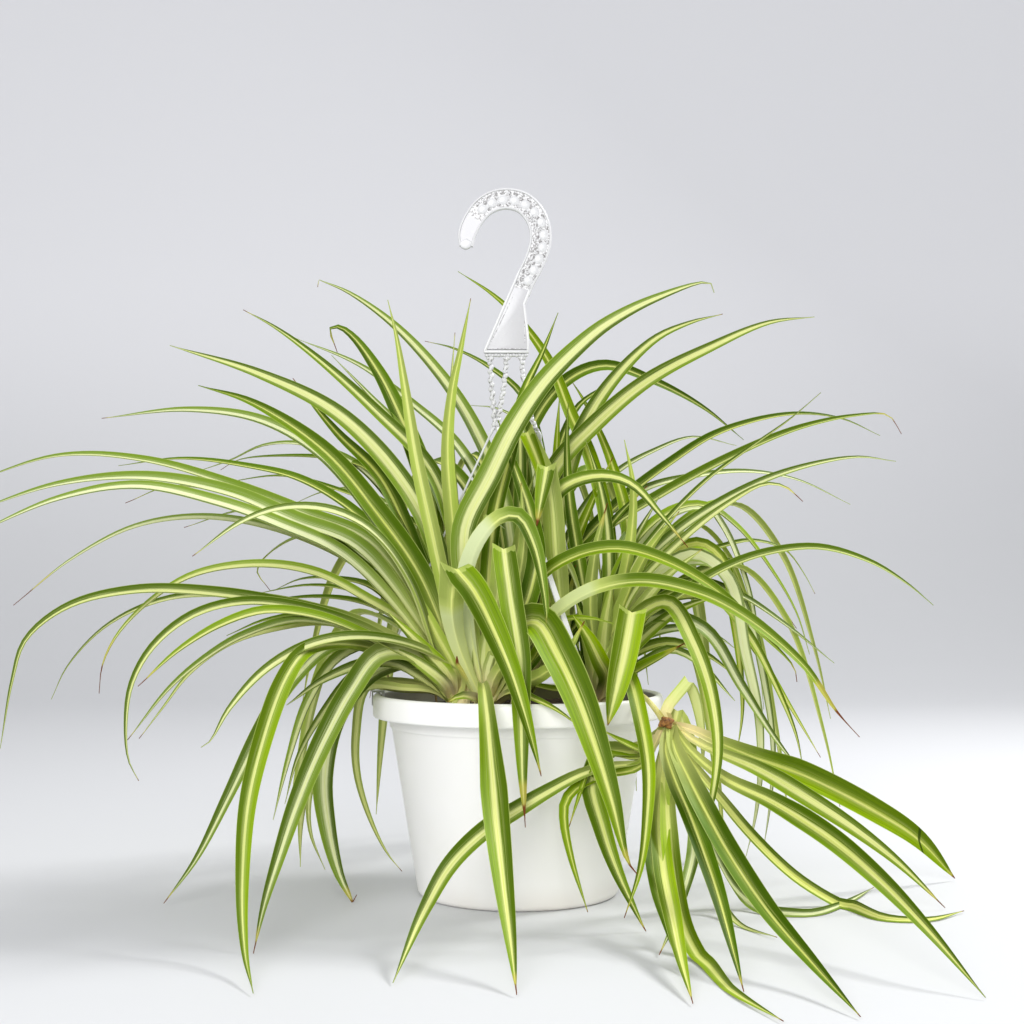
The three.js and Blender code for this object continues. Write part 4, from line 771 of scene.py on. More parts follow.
def shelves(sizes, gap):
    """Places for upright strips side by side on shelves in a square, and the square's side.

    The square starts a little larger than the strips and grows until they fit.
    """
    order = sorted(range(len(sizes)), key=lambda i: -sizes[i][1])
    side = math.sqrt(sum((w + gap) * (h + gap) for w, h in sizes)) * 1.02
    while True:
        places, x, y, shelf = {}, gap, gap, 0.0
        for i in order:
            w, h = sizes[i]
            if x + w + gap > side:
                x, y, shelf = gap, y + shelf + gap, 0.0
            shelf = max(shelf, h)
            places[i] = (x, y)
            x += w + gap
        if y + shelf + gap <= side:
            return places, side
        side *= 1.015


class BladeSet:
    """Collects the blades of one piece and makes them one mesh with its map and values."""

    def __init__(self):
        self.places, self.faces = [], []
        self.values = {name: [] for name in POINT_VALUES + LEAF_VALUES}
        self.strips, self.face_strip, self.face_spots = [], [], []

    def points(self, places, values):
        """Keeps points with their values and gives the number of the first one."""
        first = len(self.places)
        self.places.extend(places)
        for name, found in values.items():
            self.values[name].extend(np.broadcast_to(found, len(places)).tolist())
        return first

    def face(self, corners, spots):
        """Keeps a face with its corners' spots on the newest strip of the map."""
        self.faces.append(tuple(corners))
        self.face_strip.append(len(self.strips) - 1)
        self.face_spots.append(spots)

    def add(self, line, width, facing, look):
        """One blade along a line, with the looks of its leaf."""
        line, steps, folds = smooth_line(line, SEGMENT, FOLD_ANGLE)
        ring = blade_ring(line, steps, folds, width, facing, look)
        n, m = ring.shape[:2]
        length = steps[-1]
        turned = np.clip((look["turned"] - steps / length) / TURN_WITHIN, 0, 1) * look["under"]
        under = [0.0] * len(UPPER_ACROSS) + [1.0] * len(UNDER_ACROSS)
        values = {
            "across": np.tile(ACROSS, n),
            "along": np.repeat(steps / length, m),
            "root_mm": np.repeat(steps, m),
            "tip_mm": np.repeat(length - steps, m),
            "under": np.maximum(np.tile(under, n), np.repeat(turned, m)),
            **{name: look[name] for name in LEAF_VALUES},
        }
        first = self.points(ring.reshape(-1, 3).tolist(), values)
        self.strips.append((2 * width + 3 * MAP_GAP, length + END_ROOM))
        columns = [width / 2 * (u + 1) for u in UPPER_ACROSS]
        columns += [width + MAP_GAP + width / 2 * (1 - u) for u in UNDER_ACROSS]
        columns.append(2 * (width + MAP_GAP))
        for number, quad in enumerate(ring_faces(n, m, first)):
            i, k = divmod(number, m)
            self.face(quad, square(columns[k], steps[i], columns[k + 1], steps[i + 1]))
        self.close(first, length + ROOT_END, False)
        self.close(first + (n - 1) * m, length + TIP_END, True)

    def close(self, first, y, forward):
        """Closes one end of a blade with faces from its upper side to its lower side."""
        last = first + len(ACROSS) - 1
        for k in range(len(UPPER_ACROSS) - 1):
            corners = [first + k, first + k + 1, last - (k + 1) // 2, last - k // 2]
            corners = list(dict.fromkeys(corners))
            if not forward:
                corners.reverse()
            x = END_STEP * k
            self.face(corners, square(x, y, x + END_FACE[0], y + END_FACE[1])[: len(corners)])

    def add_stock(self, crown):
        """The short pale stock that the leaves of a growing point sheathe."""
        sides, wide, high = STOCK_SIDES, *STOCK_FACE
        places = []
        for radius, height in STOCK_LEVELS:
            places += circle(radius, height, sides, crown.x, crown.y)
        first = self.points(places, STOCK_VALUES)
        mapped = high * (len(STOCK_LEVELS) - 1)
        self.strips.append((wide * sides, mapped + END_ROOM))
        for number, quad in enumerate(ring_faces(len(STOCK_LEVELS), sides, first)):
            r, k = divmod(number, sides)
            self.face(quad, square(k * wide, r * high, (k + 1) * wide, (r + 1) * high))
        bottom = range(first, first + sides)
        top = range(first + len(places) - sides, first + len(places))
        across, up = STOCK_END_RADII
        for corners, x in zip((reversed(bottom), top), STOCK_ENDS):
            spots = [(x + across * math.cos(turn), mapped + END_ROOM / 2 + up * math.sin(turn))
                     for turn in turns(sides)]
            self.face(corners, spots)

    def make(self, name):
        """The mesh object of all the blades."""
        made = object_of(name, self.places, self.faces)
        for key, found in self.values.items():
            mark(made, key, found)
        places, side = shelves(self.strips, SHELF_GAP)
        spots = []
        for strip, corners in zip(self.face_strip, self.face_spots):
            x, y = places[strip]
            spots.extend(((x + u) / side, (y + v) / side) for u, v in corners)
        atlas = made.data.uv_layers.new(name="OFBake")
        atlas.uv.foreach_set("vector", np.array(spots, np.float32).ravel())
        finish_mesh(made, angle=50)
        return made


# ---------------------------------------------------------------- materials


class Value:
    """A socket of a material's nodes; arithmetic on it adds Math nodes."""

    def __init__(self, look, socket):
        self.look, self.socket = look, socket

    def math(self, operation, *others):
        """The result of a Math node, this value being its first number."""
        return self.look.node("Math", {"operation": operation}, dict(enumerate((self, *others))))

    def __add__(self, other):
        return self.math("ADD", other)

    __radd__ = __add__

    def __mul__(self, other):
        return self.math("MULTIPLY", other)

    __rmul__ = __mul__

    def __neg__(self):
        return self.math("MULTIPLY", -1.0)

    def __sub__(self, other):
        return self.math("SUBTRACT", other)

    def __rsub__(self, other):
        return self.look.node("Math", {"operation": "SUBTRACT"}, {0: other, 1: self})

    def __abs__(self):
        return self.math("ABSOLUTE")

    def least(self, other):
        """The smaller of two values."""
        return self.math("MINIMUM", other)

    def most(self, other):
        """The larger of two values."""
        return self.math("MAXIMUM", other)

    def ramp(self, low, high):
        """0 below low, 1 above high, eased between."""
        return self.look.node(
            "MapRange",
            {"interpolation_type": "SMOOTHSTEP"},
            {"Value": self, "From Min": low, "From Max": high, "To Min": 0.0, "To Max": 1.0},
        )


class Look:
    """A material and its node tree."""

    def __init__(self, name, **shader):
        self.material = bpy.data.materials.new(name)
        self.material.use_nodes = True
        self.tree = self.material.node_tree
        self.shader = self.tree.nodes["Principled BSDF"]
        for key, value in shader.items():
            self.shader.inputs[key.replace("_", " ")].default_value = value

    def node(self, kind, settings=None, inputs=None, out=0):
        """One node: its type, its settings, and the values or links of its sockets."""
        made = self.tree.nodes.new("ShaderNode" + kind)
        for key, value in (settings or {}).items():
            setattr(made, key, value)
        for key, value in (inputs or {}).items():
            socket = made.inputs[key]
            if isinstance(value, Value):
                self.tree.links.new(value.socket, socket)
            else:
                socket.default_value = value
        return Value(self, made.outputs[out])

    def value(self, name):
        """A value stored on the piece's own points."""
        return self.node("Attribute", {"attribute_name": name}, out="Fac")

    def place(self):
        """A point's place on the piece."""
        return self.node("TexCoord", out="Object")

    def height(self):
        """A point's height on the piece, in metres."""
        return self.node("SeparateXYZ", {}, {0: self.place()}, out="Z")

    def noise(self, scale, vector=None, detail=3.0, rough=0.5):
        """A noise at a scale, on the piece's own places or along another vector."""
        inputs = {"Vector": vector or self.place(), "Scale": scale, "Detail": detail, "Roughness": rough}
        return self.node("TexNoise", {}, inputs, out="Fac")

    def mix(self, share, first, second):
        """Goes from the first colour to the second."""
        settings = {"data_type": "RGBA", "blend_type": "MIX", "clamp_factor": True}
        return self.node("Mix", settings, {0: share, 6: first, 7: second}, out=2)

    def feed(self, name, value):
        """Links a value to a socket of the shader."""
        self.tree.links.new(value.socket, self.shader.inputs[name])

    def bump(self, height, distance, strength):
        """Roughens the surface with a height."""
        inputs = {"Height": height, "Distance": distance, "Strength": strength}
        self.feed("Normal", self.node("Bump", {}, inputs))


def shade(red, green, blue):
    """A screen colour as the shader's linear colour."""
    linear = []
    for v in (red / 255, green / 255, blue / 255):
        linear.append(v / 12.92 if v <= 0.04045 else ((v + 0.055) / 1.055) ** 2.4)
    return tuple(linear)


def paint(tone, dim=1.0):
    """A colour setting as the value of a socket, dimmed if asked."""
    return (*(v * dim for v in tone), 1.0)


def leaf_look():
    """Cream middle, green margins with fine veins, pale root, pale underside, dry brown tip, with
    painted shade, painted sheen and a painted edge highlight.
    """
    colours = bpy.context.scene.spider_leaves
    look = Look("striped_leaf", Roughness=0.4, Specular_IOR_Level=0.05)
    across, along, root, tip, under = (look.value(name) for name in POINT_VALUES)
    tint, band, pale, brown, crack = (look.value(name) for name in LEAF_VALUES)

    def streaky(sideways, lengthways, leaf, detail=2.0, rough=0.5):
        """Streaks along the blade, other ones on each leaf."""
        vector = look.node("CombineXYZ", {}, {0: sideways, 1: root * lengthways, 2: tint * leaf})
        return look.noise(1.0, vector, detail, rough)

    streaks = streaky(across * 9 + tint * 40, 0.012, 17, detail=5.0, rough=0.65)
    fine = streaky(across * 34, 0.02, 31)
    blotch = streaky(across * 1.6, 0.035, 53)
    # How green a point is: 0 in the cream middle, 1 on the margin.
    wander = band - 0.04 + (streaks - 0.5) * 0.24 + (-tip).ramp(-60, 0) * -0.08
    green = (abs(across) - wander).ramp(-0.09, 0.13)
    hairlines = (band - abs(across)).ramp(-0.5, 0.0) * fine.ramp(0.44, 0.6) * 0.5
    # The margins: deep to fresh, the deep end partly painted shade for shaded leaves; greyish patches,
    # partly the leaf's own tone and partly painted sheen; dark veins; and one side darkened as painted
    # shade of the fold.
    deep = colours.deep_margin
    margin = look.mix(tint, paint(deep), paint(colours.fresh_margin))
    margin = look.mix(blotch.ramp(0.35, 0.75) * 0.2, margin, paint(colours.grey_margin))
    margin = look.mix(fine.ramp(0.35, 0.65) * 0.5, margin, paint(deep, 0.55))
    margin = look.mix(pale * 0.55, margin, paint(colours.grey_margin))
    # Painted shade: one half of each blade darkened, as if in the shade of its fold.
    side = ((tint * 37).math("SINE") * 3).most(-1.0).least(1.0)
    lean = (across * side * 2.2).ramp(-1.0, 1.0)
    margin = look.mix(lean * 0.66, margin, paint(deep, 0.42))
    # The cream middle, with yellow-green lines and the midrib.
    lines = streaks.ramp(0.42, 0.62) * 0.5 + fine.ramp(0.5, 0.62) * 0.3
    cream = look.mix(lines, paint(colours.stripe), paint(colours.stripe_line))
    cream = look.mix(pale, cream, paint(colours.stripe_white))
    face = look.mix((green - hairlines).most(0.0), cream, margin)
    midrib = (0.07 - abs(across)).ramp(0.0, 0.06)
    face = look.mix(midrib * 0.35, face, paint(colours.midrib))
    # The underside is duller and lighter; under values past 1 whiten it further, and past 1.5 lay on a
    # whitish painted sheen.
    face = look.mix(under * 0.34, face, paint(colours.underside))
    face = look.mix((under - 1.5).ramp(0.0, 0.9) * 0.6, face, paint(colours.sheen))
    # A crack across the blade.
    line = (1.7 - abs(tip - crack + across * 7)).ramp(0.0, 0.6) * crack.ramp(0.5, 1.0)
    face = look.mix(line * 0.85, face, paint(deep, 0.35))
    # The pale foot with its blush. The foot's own paleness is raised further as painted light shining
    # through the leaf.
    base = (-along).ramp(-0.34, -0.03)
    face = look.mix(base * (0.5 + 0.4 * (1 - green)), face, paint(colours.root_pale))
    foot = (-root).ramp(-30, -5).most((-along).ramp(-0.16, -0.03))
    face = look.mix(foot * tint.ramp(0.35, 0.75) * 0.6, face, paint(colours.root_blush))
    # The painted highlight along the thin edge, and the tip that yellows and dries.
    face = look.mix(abs(across).ramp(0.93, 0.99) * 0.45, face, paint(colours.edge))
    drying = brown.ramp(0.1, 0.5)
    dry = (brown - tip + (streaks - 0.5) * 5).ramp(-1.0, 2.0) * drying
    halo = (brown * 1.9 - tip).ramp(-4.0, 3.0) * drying
    face = look.mix(halo * 0.5, face, paint(colours.yellowed))
    face = look.mix(dry, face, paint(colours.dry_tip))
    look.feed("Base Color", face)
    look.feed("Roughness", 0.36 + 0.16 * under + 0.12 * fine + 0.35 * dry)
    look.bump((across * 38).math("SINE") * 0.4 + fine * 0.8, distance=0.00007, strength=0.6)
    return look.material


def leaf_material():
    """The striped leaf's material, made once."""
    return bpy.data.materials.get("striped_leaf") or leaf_look()


def plastic_look():
    """White moulded plastic with faint flow marks, dust low down, and painted shade inside the rim."""
    colours = bpy.context.scene.spider_pot
    look = Look("pot_white_plastic", Roughness=0.38, Specular_IOR_Level=0.5, Coat_Roughness=0.2)
    cloud = look.noise(9.0)
    grain = look.noise(900.0, detail=2.0)
    height = look.height()
    white = look.mix(cloud.ramp(0.3, 0.7) * 0.5, paint(colours.white), paint(colours.warm_white))
    dust = (-height).ramp(-0.02, -0.001) * cloud.ramp(0.35, 0.7)
    white = look.mix(dust * 0.35, white, paint(colours.scuff))
    # Painted shade in a soil-brown tone, inside the rim and the wall: within their radius, above the
    # soil and below the rolled top.
    flat = look.node("VectorMath", {"operation": "MULTIPLY"}, {0: look.place(), 1: (1, 1, 0)})
    radius = look.node("VectorMath", {"operation": "LENGTH"}, {0: flat}, out="Value")
    inside = (-radius).ramp(-0.0951, -0.0945) * (0.012 * cloud - height).ramp(-0.1365, -0.1275)
    white = look.mix(inside * height.ramp(0.1212, 0.1222) * 0.9, white, paint(colours.inner_wall_shade))
    look.feed("Base Color", white)
    look.feed("Roughness", 0.34 + 0.1 * cloud + 0.06 * grain)
    look.bump(grain, distance=0.00004, strength=0.4)
    return look.material


def soil_look():
    """Dark crumbs with lighter fibres."""
    colours = bpy.context.scene.spider_pot
    look = Look("potting_soil", Roughness=0.95, Specular_IOR_Level=0.25)
    lumps = look.noise(240.0, detail=6.0, rough=0.7)
    fibres = look.noise(900.0)
    brown = look.mix(lumps.ramp(0.35, 0.7), paint(colours.soil_dark), paint(colours.soil_light))
    brown = look.mix(fibres.ramp(0.62, 0.75), brown, paint(colours.soil_fibre))
    look.feed("Base Color", brown)
    look.feed("Roughness", 0.85 + 0.12 * lumps)
    look.bump(lumps + fibres * 0.4, distance=0.0012, strength=0.9)
    return look.material


def clear_look():
    """Milky clear plastic: white on the domes and edges, grey painted shade in the grooves."""
    colours = bpy.context.scene.spider_hanger
    look = Look("hanger_clear_plastic", Roughness=0.2, Specular_IOR_Level=0.55, IOR=1.46)
    cloud = look.noise(620.0, rough=0.6)
    grain = look.noise(1500.0, detail=2.0)
    tone = look.mix(cloud.ramp(0.42, 0.8) * 0.35, paint(colours.milky), paint(colours.shadow))
    # Painted shade: grey in the grooves and recesses, patchy with the clouds.
    recess_darkening = (look.value("recess_shade") * (0.12 + 1.1 * cloud.ramp(0.46, 0.62))).least(1.0)
    tone = look.mix(recess_darkening * 0.75, tone, paint(colours.recess_shade))
    tone = look.mix(look.value("pane"), tone, paint(colours.pane))
    look.feed("Base Color", tone)
    look.feed("Roughness", 0.14 + 0.2 * cloud)
    look.bump(cloud * 0.7 + grain * 0.3, distance=0.00012, strength=0.5)
    return look.material


def dry_look(name, dark, light, scale):
    """Dry brown fibres."""
    look = Look(name, Roughness=0.8)
    fibre = look.noise(scale, detail=5.0, rough=0.7)
    look.feed("Base Color", look.mix(fibre.ramp(0.3, 0.7), paint(dark), paint(light)))
    look.feed("Roughness", 0.65 + 0.3 * fibre)
    look.bump(fibre, distance=0.0003, strength=0.8)
    return look.material


def runner_look():
    """Thin pale runner with faint streaks."""
    colours = bpy.context.scene.spider_leaves
    look = Look("runner_pale", Roughness=0.42)
    streak = look.noise(160.0, detail=4.0)
    tone = look.mix(streak.ramp(0.3, 0.7), paint(colours.runner_dark), paint(colours.runner_light))
    look.feed("Base Color", tone)
    look.feed("Roughness", 0.36 + 0.2 * streak)
    look.bump(streak, distance=0.0002, strength=0.6)
    return look.material


# ---------------------------------------------------------------- settings


def colour(name, words, value):
    """A colour setting with a screen colour as its default."""
    return bpy.props.FloatVectorProperty(
        name=name, description=words, subtype="COLOR", size=3, min=0, max=1, default=shade(*value)
    )


def length(name, words, value):
    """A length setting with a default in millimetres."""
    return bpy.props.FloatProperty(name=name, description=words, unit="LENGTH", default=value * MM)


class SpiderPot(bpy.types.PropertyGroup):
    """Sizes and colours of the pot, and colours of its soil."""

    height: length("Height", "Height of the pot's rim above the table", 136.5)
    rim_radius: length("Rim radius", "Outer radius of the rim", 100)
    rim_bottom: length("Rim bottom", "Height of the rim's lower edge", 121)
    step_height: length("Step", "Height of the step below the rim", 114)
    body_radius: length("Body radius", "Radius of the body under the rim", 89)
    base_radius: length("Base radius", "Radius of the pot's base", 69)
    white: colour("White", "Main colour of the plastic", (247, 246, 244))
    warm_white: colour("Warm white", "Colour of faint clouds in the plastic", (237, 235, 229))
    scuff: colour("Scuff", "Colour of the dust near the base", (208, 198, 184))
    # Painted shade on the inner wall above the soil, in a soil-brown tone.
    inner_wall_shade: colour("Stain", "Colour of the soil marks inside", (90, 82, 54))
    soil_dark: colour("Dark soil", "Dark crumbs of the soil", (26, 19, 14))
    soil_light: colour("Light soil", "Light crumbs of the soil", (74, 54, 38))
    soil_fibre: colour("Soil fibres", "Fibres in the soil", (128, 100, 70))


class SpiderLeaves(bpy.types.PropertyGroup):
    """Colours of the leaves and of the dry parts, and the seed of the leaves' small differences."""

    seed: bpy.props.IntProperty(name="Seed", description="Seed of small differences", default=7)
    # Deep and fresh are partly the leaves' own greens, partly painted shade: leaves in shade get the
    # deep end.
    fresh_margin: colour("Fresh margin", "Bright green of young margins", (160, 192, 0))
    deep_margin: colour("Deep margin", "Deep green of old margins", (68, 102, 0))
    # Partly the leaves' own greyish green, partly painted sheen.
    grey_margin: colour("Grey margin", "Greyish green bloom on the margins", (126, 147, 66))
    stripe: colour("Stripe", "Cream of the middle stripe", (220, 221, 140))
    stripe_line: colour("Stripe lines", "Yellow-green lines in the stripe", (176, 190, 40))
    stripe_white: colour("Pale stripe", "White of the palest stripes", (214, 219, 176))
    midrib: colour("Midrib", "Line along the fold", (200, 208, 96))
    underside: colour("Underside", "Dull light green of the underside", (212, 222, 126))
    # Painted sheen: whitish, on the palest turned undersides.
    sheen: colour("Bloom", "Whitish bloom on the palest undersides", (206, 214, 188))
    # Partly the leaf's own pale foot, partly painted light shining through the leaf.
    root_pale: colour("Leaf root", "Pale foot of a leaf", (226, 230, 138))
    root_blush: colour("Root blush", "Peach blush at the foot of a leaf", (250, 224, 188))
    # Painted highlight: the thin pale line along each edge.
    edge: colour("Edge", "Thin pale edge line", (200, 210, 120))
    yellowed: colour("Yellowed", "Yellowing before a dry tip", (198, 180, 84))
    dry_tip: colour("Dry tip", "Dry brown tip", (112, 64, 34))
    runner_dark: colour("Dark runner", "Dark streaks of the runner", (196, 186, 96))
    runner_light: colour("Light runner", "Light streaks of the runner", (226, 220, 150))
    dry_root_dark: colour("Dark root stubs", "Dark fibres of the root stubs", (84, 48, 26))
    dry_root_light: colour("Light root stubs", "Light fibres of the root stubs", (170, 118, 60))
    dry_stem_dark: colour("Dark dry stalk", "Dark fibres of the dry stalk", (140, 108, 62))
    dry_stem_light: colour("Light dry stalk", "Light fibres of the dry stalk", (206, 184, 138))


class SpiderHanger(bpy.types.PropertyGroup):
    """Sizes and colours of the hanger."""

    band_thickness: length("Hook thickness", "Thickness of the hook's raised edges", 5)
    strap_width: length("Strap width", "Width of a flat strap", 4.3)
    milky: colour("Milky", "Light parts of the plastic", (212, 212, 213))
    shadow: colour("Shade", "Darker clouds inside the plastic", (208, 208, 210))
    # Painted shade of the recesses between the domes.
    recess_shade: colour("Groove", "Grey of the recesses between the domes", (98, 93, 92))
    pane: colour("Pane", "Smooth parts of the hook", (190, 189, 192))


class SpiderStage(bpy.types.PropertyGroup):
    """Floor, light and camera."""

    floor_tone: colour("Floor", "Pale floor", (204, 205, 207))
    back_tone: colour("Backdrop", "Backdrop above the floor", (236, 236, 239))
    air_tone: colour("Air", "Light all round", (243, 244, 246))
    lens: bpy.props.FloatProperty(name="Lens", description="Focal length in millimetres", default=56.25)


# ---------------------------------------------------------------- pieces


def dress(made, node, look):
    """Material, body, slot and the solid that a piece stands for."""
    made.data.materials.clear()
    made.data.materials.append(look)
    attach(made, "root")
    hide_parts(node)


# The floor runs level to the foot of the wall, bends up and goes on as the wall.
FLOOR_FRONT, FLOOR_BACK, FLOOR_HALF = -3000, 1600, 4000
WALL_BEND, WALL_BEND_STEPS, WALL_TOP = 1400, 12, 4000
# Lamps that point at LIT: place and size in metres, power in watts.
LAMPS = {"sun_side": ((1.2, 0.5, 1.5), 0.5, 33), "front": ((-0.4, -2.2, 1.05), 1.4, 38)}
LIT = Vector((0, 0, 0.2))
AIR_STRENGTH = 0.78
MID_GREY = (0.5, 0.5, 0.5, 1)
SENSOR_WIDTH = 36
CAMERA_TILT = math.radians(92.2)


class SPIDER_OT_stage(bpy.types.Operator):
    """Adds the pale floor and wall, the soft lights and the camera"""

    bl_idname = "spider.stage"
    bl_label = "Stage"

    def execute(self, context):
        settings = context.scene.spider_stage
        self.floor(settings)
        world = bpy.data.worlds.new("soft_air")
        world.use_nodes = True
        air = world.node_tree.nodes["Background"]
        air.inputs["Color"].default_value = paint(settings.air_tone)
        air.inputs["Strength"].default_value = AIR_STRENGTH
        context.scene.world = world
        for name, (place, size, power) in LAMPS.items():
            light = bpy.data.lights.new(name, "AREA")
            light.shape, light.size, light.energy = "DISK", size, power
            lamp = linked(name, light)
            lamp.location = place
            lamp.rotation_euler = (LIT - lamp.location).to_track_quat("-Z", "Y").to_euler()
        camera = linked("camera", bpy.data.cameras.new("camera"))
        camera.data.lens, camera.data.sensor_width = settings.lens, SENSOR_WIDTH
        camera.location = EYE * MM
        camera.rotation_euler = (CAMERA_TILT, 0, 0)
        context.scene.camera = camera
        context.scene.view_settings.view_transform = "Standard"
        return {"FINISHED"}

    def floor(self, settings):
        """The floor and the wall behind it, as one bent sheet."""
        profile = [(FLOOR_FRONT, 0.0), (FLOOR_BACK, 0.0)]
        for k in range(1, WALL_BEND_STEPS + 1):
            angle = k / WALL_BEND_STEPS * math.pi / 2
            profile.append((FLOOR_BACK + WALL_BEND * math.sin(angle), WALL_BEND * (1 - math.cos(angle))))
        profile.append((FLOOR_BACK + WALL_BEND, WALL_TOP))
        places = [(x, y, z) for y, z in profile for x in (-FLOOR_HALF, FLOOR_HALF)]
        faces = [(2 * i, 2 * i + 1, 2 * i + 3, 2 * i + 2) for i in range(len(profile) - 1)]
        floor = object_of("floor", places, faces)
        only(floor)
        bpy.ops.object.shade_smooth()
        look = Look("pale_floor", Roughness=0.6, Specular_IOR_Level=0.3)
        rise = look.height().ramp(0.0, 1.0)
        tone = look.mix(rise, paint(settings.floor_tone), paint(settings.back_tone))
        look.feed("Base Color", look.mix(look.noise(1.2) * 0.03, tone, MID_GREY))
        floor.data.materials.append(look.material)


# The pot's inner wall starts at this radius, and its floor has this radius and height.
POT_SIDES = 160
INNER_TOP_RADIUS = 86.6
INNER_FLOOR = (72, 30)


def pot_levels(pot):
    """Radius and height of the pot's rings, from the base up and over the rim to the floor inside."""
    top, rim, low, step = (v / MM for v in (pot.height, pot.rim_radius, pot.rim_bottom, pot.step_height))
    body, base = pot.body_radius / MM, pot.base_radius / MM
    return [
        (base - 4.5, 0), (base - 2.6, 0.25), (base - 1.2, 1.1), (base - 0.3, 2.4), (base + 0.25, 4.4),
        (base + 18, step - 1.1), (base + 18.5, step - 0.5), (body - 0.9, step), (body - 0.6, step + 0.5),
        (body - 0.1, low - 0.3), (body + 0.3, low), (rim - 1.6, low), (rim - 0.7, low + 0.3),
        (rim - 0.15, low + 1), (rim, low + 2.2), (rim, top - 3.4), (rim - 0.3, top - 1.8),
        (rim - 1, top - 0.7), (rim - 2.1, top - 0.1), (rim - 3, top), (rim - 4, top - 0.2),
        (rim - 5, top - 0.9), (rim - 5.5, top - 2), (rim - 6.4, low + 2), (INNER_TOP_RADIUS, step + 2),
        INNER_FLOOR,
    ]


class SPIDER_OT_pot(bpy.types.Operator):
    """Turns the white pot with its deep rim"""

    bl_idname = "spider.pot"
    bl_label = "Pot"

    def execute(self, context):
        levels = pot_levels(context.scene.spider_pot)
        bpy.ops.object.select_all(action="DESELECT")
        bpy.ops.mesh.primitive_circle_add(vertices=POT_SIDES, radius=levels[0][0] * MM, fill_type="NGON")
        made = context.object
        made.name = made.data.name = "pot_shell"
        edit_all(made)
        for (before, below), (radius, height) in zip(levels, levels[1:]):
            rise = (height - below) * MM
            bpy.ops.mesh.extrude_region_move(TRANSFORM_OT_translate={"value": (0, 0, rise)})
            share = radius / before
            bpy.ops.transform.resize(value=(share, share, 1), center_override=(0, 0, height * MM))
        bpy.ops.object.mode_set(mode="OBJECT")
        finish_mesh(made, angle=60)
        dress(made, "pot", plastic_look())
        return {"FINISHED"}


# The soil's heap: rings and sides, radius, height in the middle, drop at the wall, height of the
# crumbs, and radius and height of the rings below its edge.
SOIL_SEED = 11
SOIL_RINGS, SOIL_SIDES = 34, 120
SOIL_RADIUS, SOIL_HEIGHT, SOIL_DROP = 92.4, 125.6, 1.2
SOIL_CRUMBS = 1.0
SOIL_WALL = [(92.2, 123), (86.2, 116)]


class SPIDER_OT_soil(bpy.types.Operator):
    """Heaps the crumbly soil"""

    bl_idname = "spider.soil"
    bl_label = "Soil"

    def execute(self, context):
        draw = random.Random(SOIL_SEED)
        places = []
        for r in range(SOIL_RINGS + 1):
            share = r / SOIL_RINGS
            for x, y, _ in circle(SOIL_RADIUS * share, 0, SOIL_SIDES):
                wave = math.sin(x * 0.11 + 1) * math.cos(y * 0.13) * 1.1
                crumb = draw.uniform(-SOIL_CRUMBS, SOIL_CRUMBS) if share < 1 else 0
                places.append((x, y, SOIL_HEIGHT + wave + crumb * (r > 0) - SOIL_DROP * share**6))
        for radius, height in SOIL_WALL:
            places += circle(radius, height, SOIL_SIDES)
        bottom = tuple(range(len(places) - SOIL_SIDES, len(places)))
        faces = [*ring_faces(SOIL_RINGS + 1 + len(SOIL_WALL), SOIL_SIDES), bottom]
        made = object_of("soil_heap", places, faces)
        edit_all(made)
        bpy.ops.mesh.remove_doubles(threshold=0.00001)
        bpy.ops.object.mode_set(mode="OBJECT")
        finish_mesh(made, angle=80)
        dress(made, "soil", soil_look())
        return {"FINISHED"}


def rosette(name, node, crowns):
    """All leaves of the growing points given, as one piece."""
    draw = random.Random(bpy.context.scene.spider_leaves.seed * SEED_STEP + ord(crowns[0]))
    blades = BladeSet()
    for crown in crowns:
        blades.add_stock(CROWNS[crown])
    for crown, width, facing, tip, points, given in LEAVES:
        if crown in crowns:
            blades.add(leaf_line(crown, tip, points), width, facing, leaf_character(draw, crown, given))
    for crown, heading, reach, top, tip, width in BACK_LEAVES:
        if crown in crowns:
            line = back_line(CROWNS[crown], heading, reach, top, tip)
            blades.add(line, width, BACK_FACING, leaf_character(draw, crown, DRAWN))
    dress(blades.make(name), node, leaf_material())


class SPIDER_OT_rosettes(bpy.types.Operator):
    """Grows the three clusters of striped leaves"""

    bl_idname = "spider.rosettes"
    bl_label = "Rosettes"

    def execute(self, context):
        rosette("leaves_left", "rosette_left", "ab")
        rosette("leaves_right", "rosette_right", "c")
        rosette("leaves_back", "rosette_back", "d")
        return {"FINISHED"}


# The runner leaves the soil, climbs over the rim and ends in the young plant's core.
RUNNER_ROOT = [Vector((69, -20, 118.4)), Vector((69, -20, 134))]
RUNNER_OVER_RIM = [(77, 139, -46), (84, 136, -60), (90, 131, -70), (98, 121, -74)]
RUNNER_RADII = [1.4, 1.4, 1.3, 1.3, 1.5, 1.9, 2.8]
CORE_LINE = [(-4, 0, 5), (0, 0, 0), (4, 0, -6), (7, 0, -12)]
CORE_RADII = [3, 5.6, 5.4, 2.2]


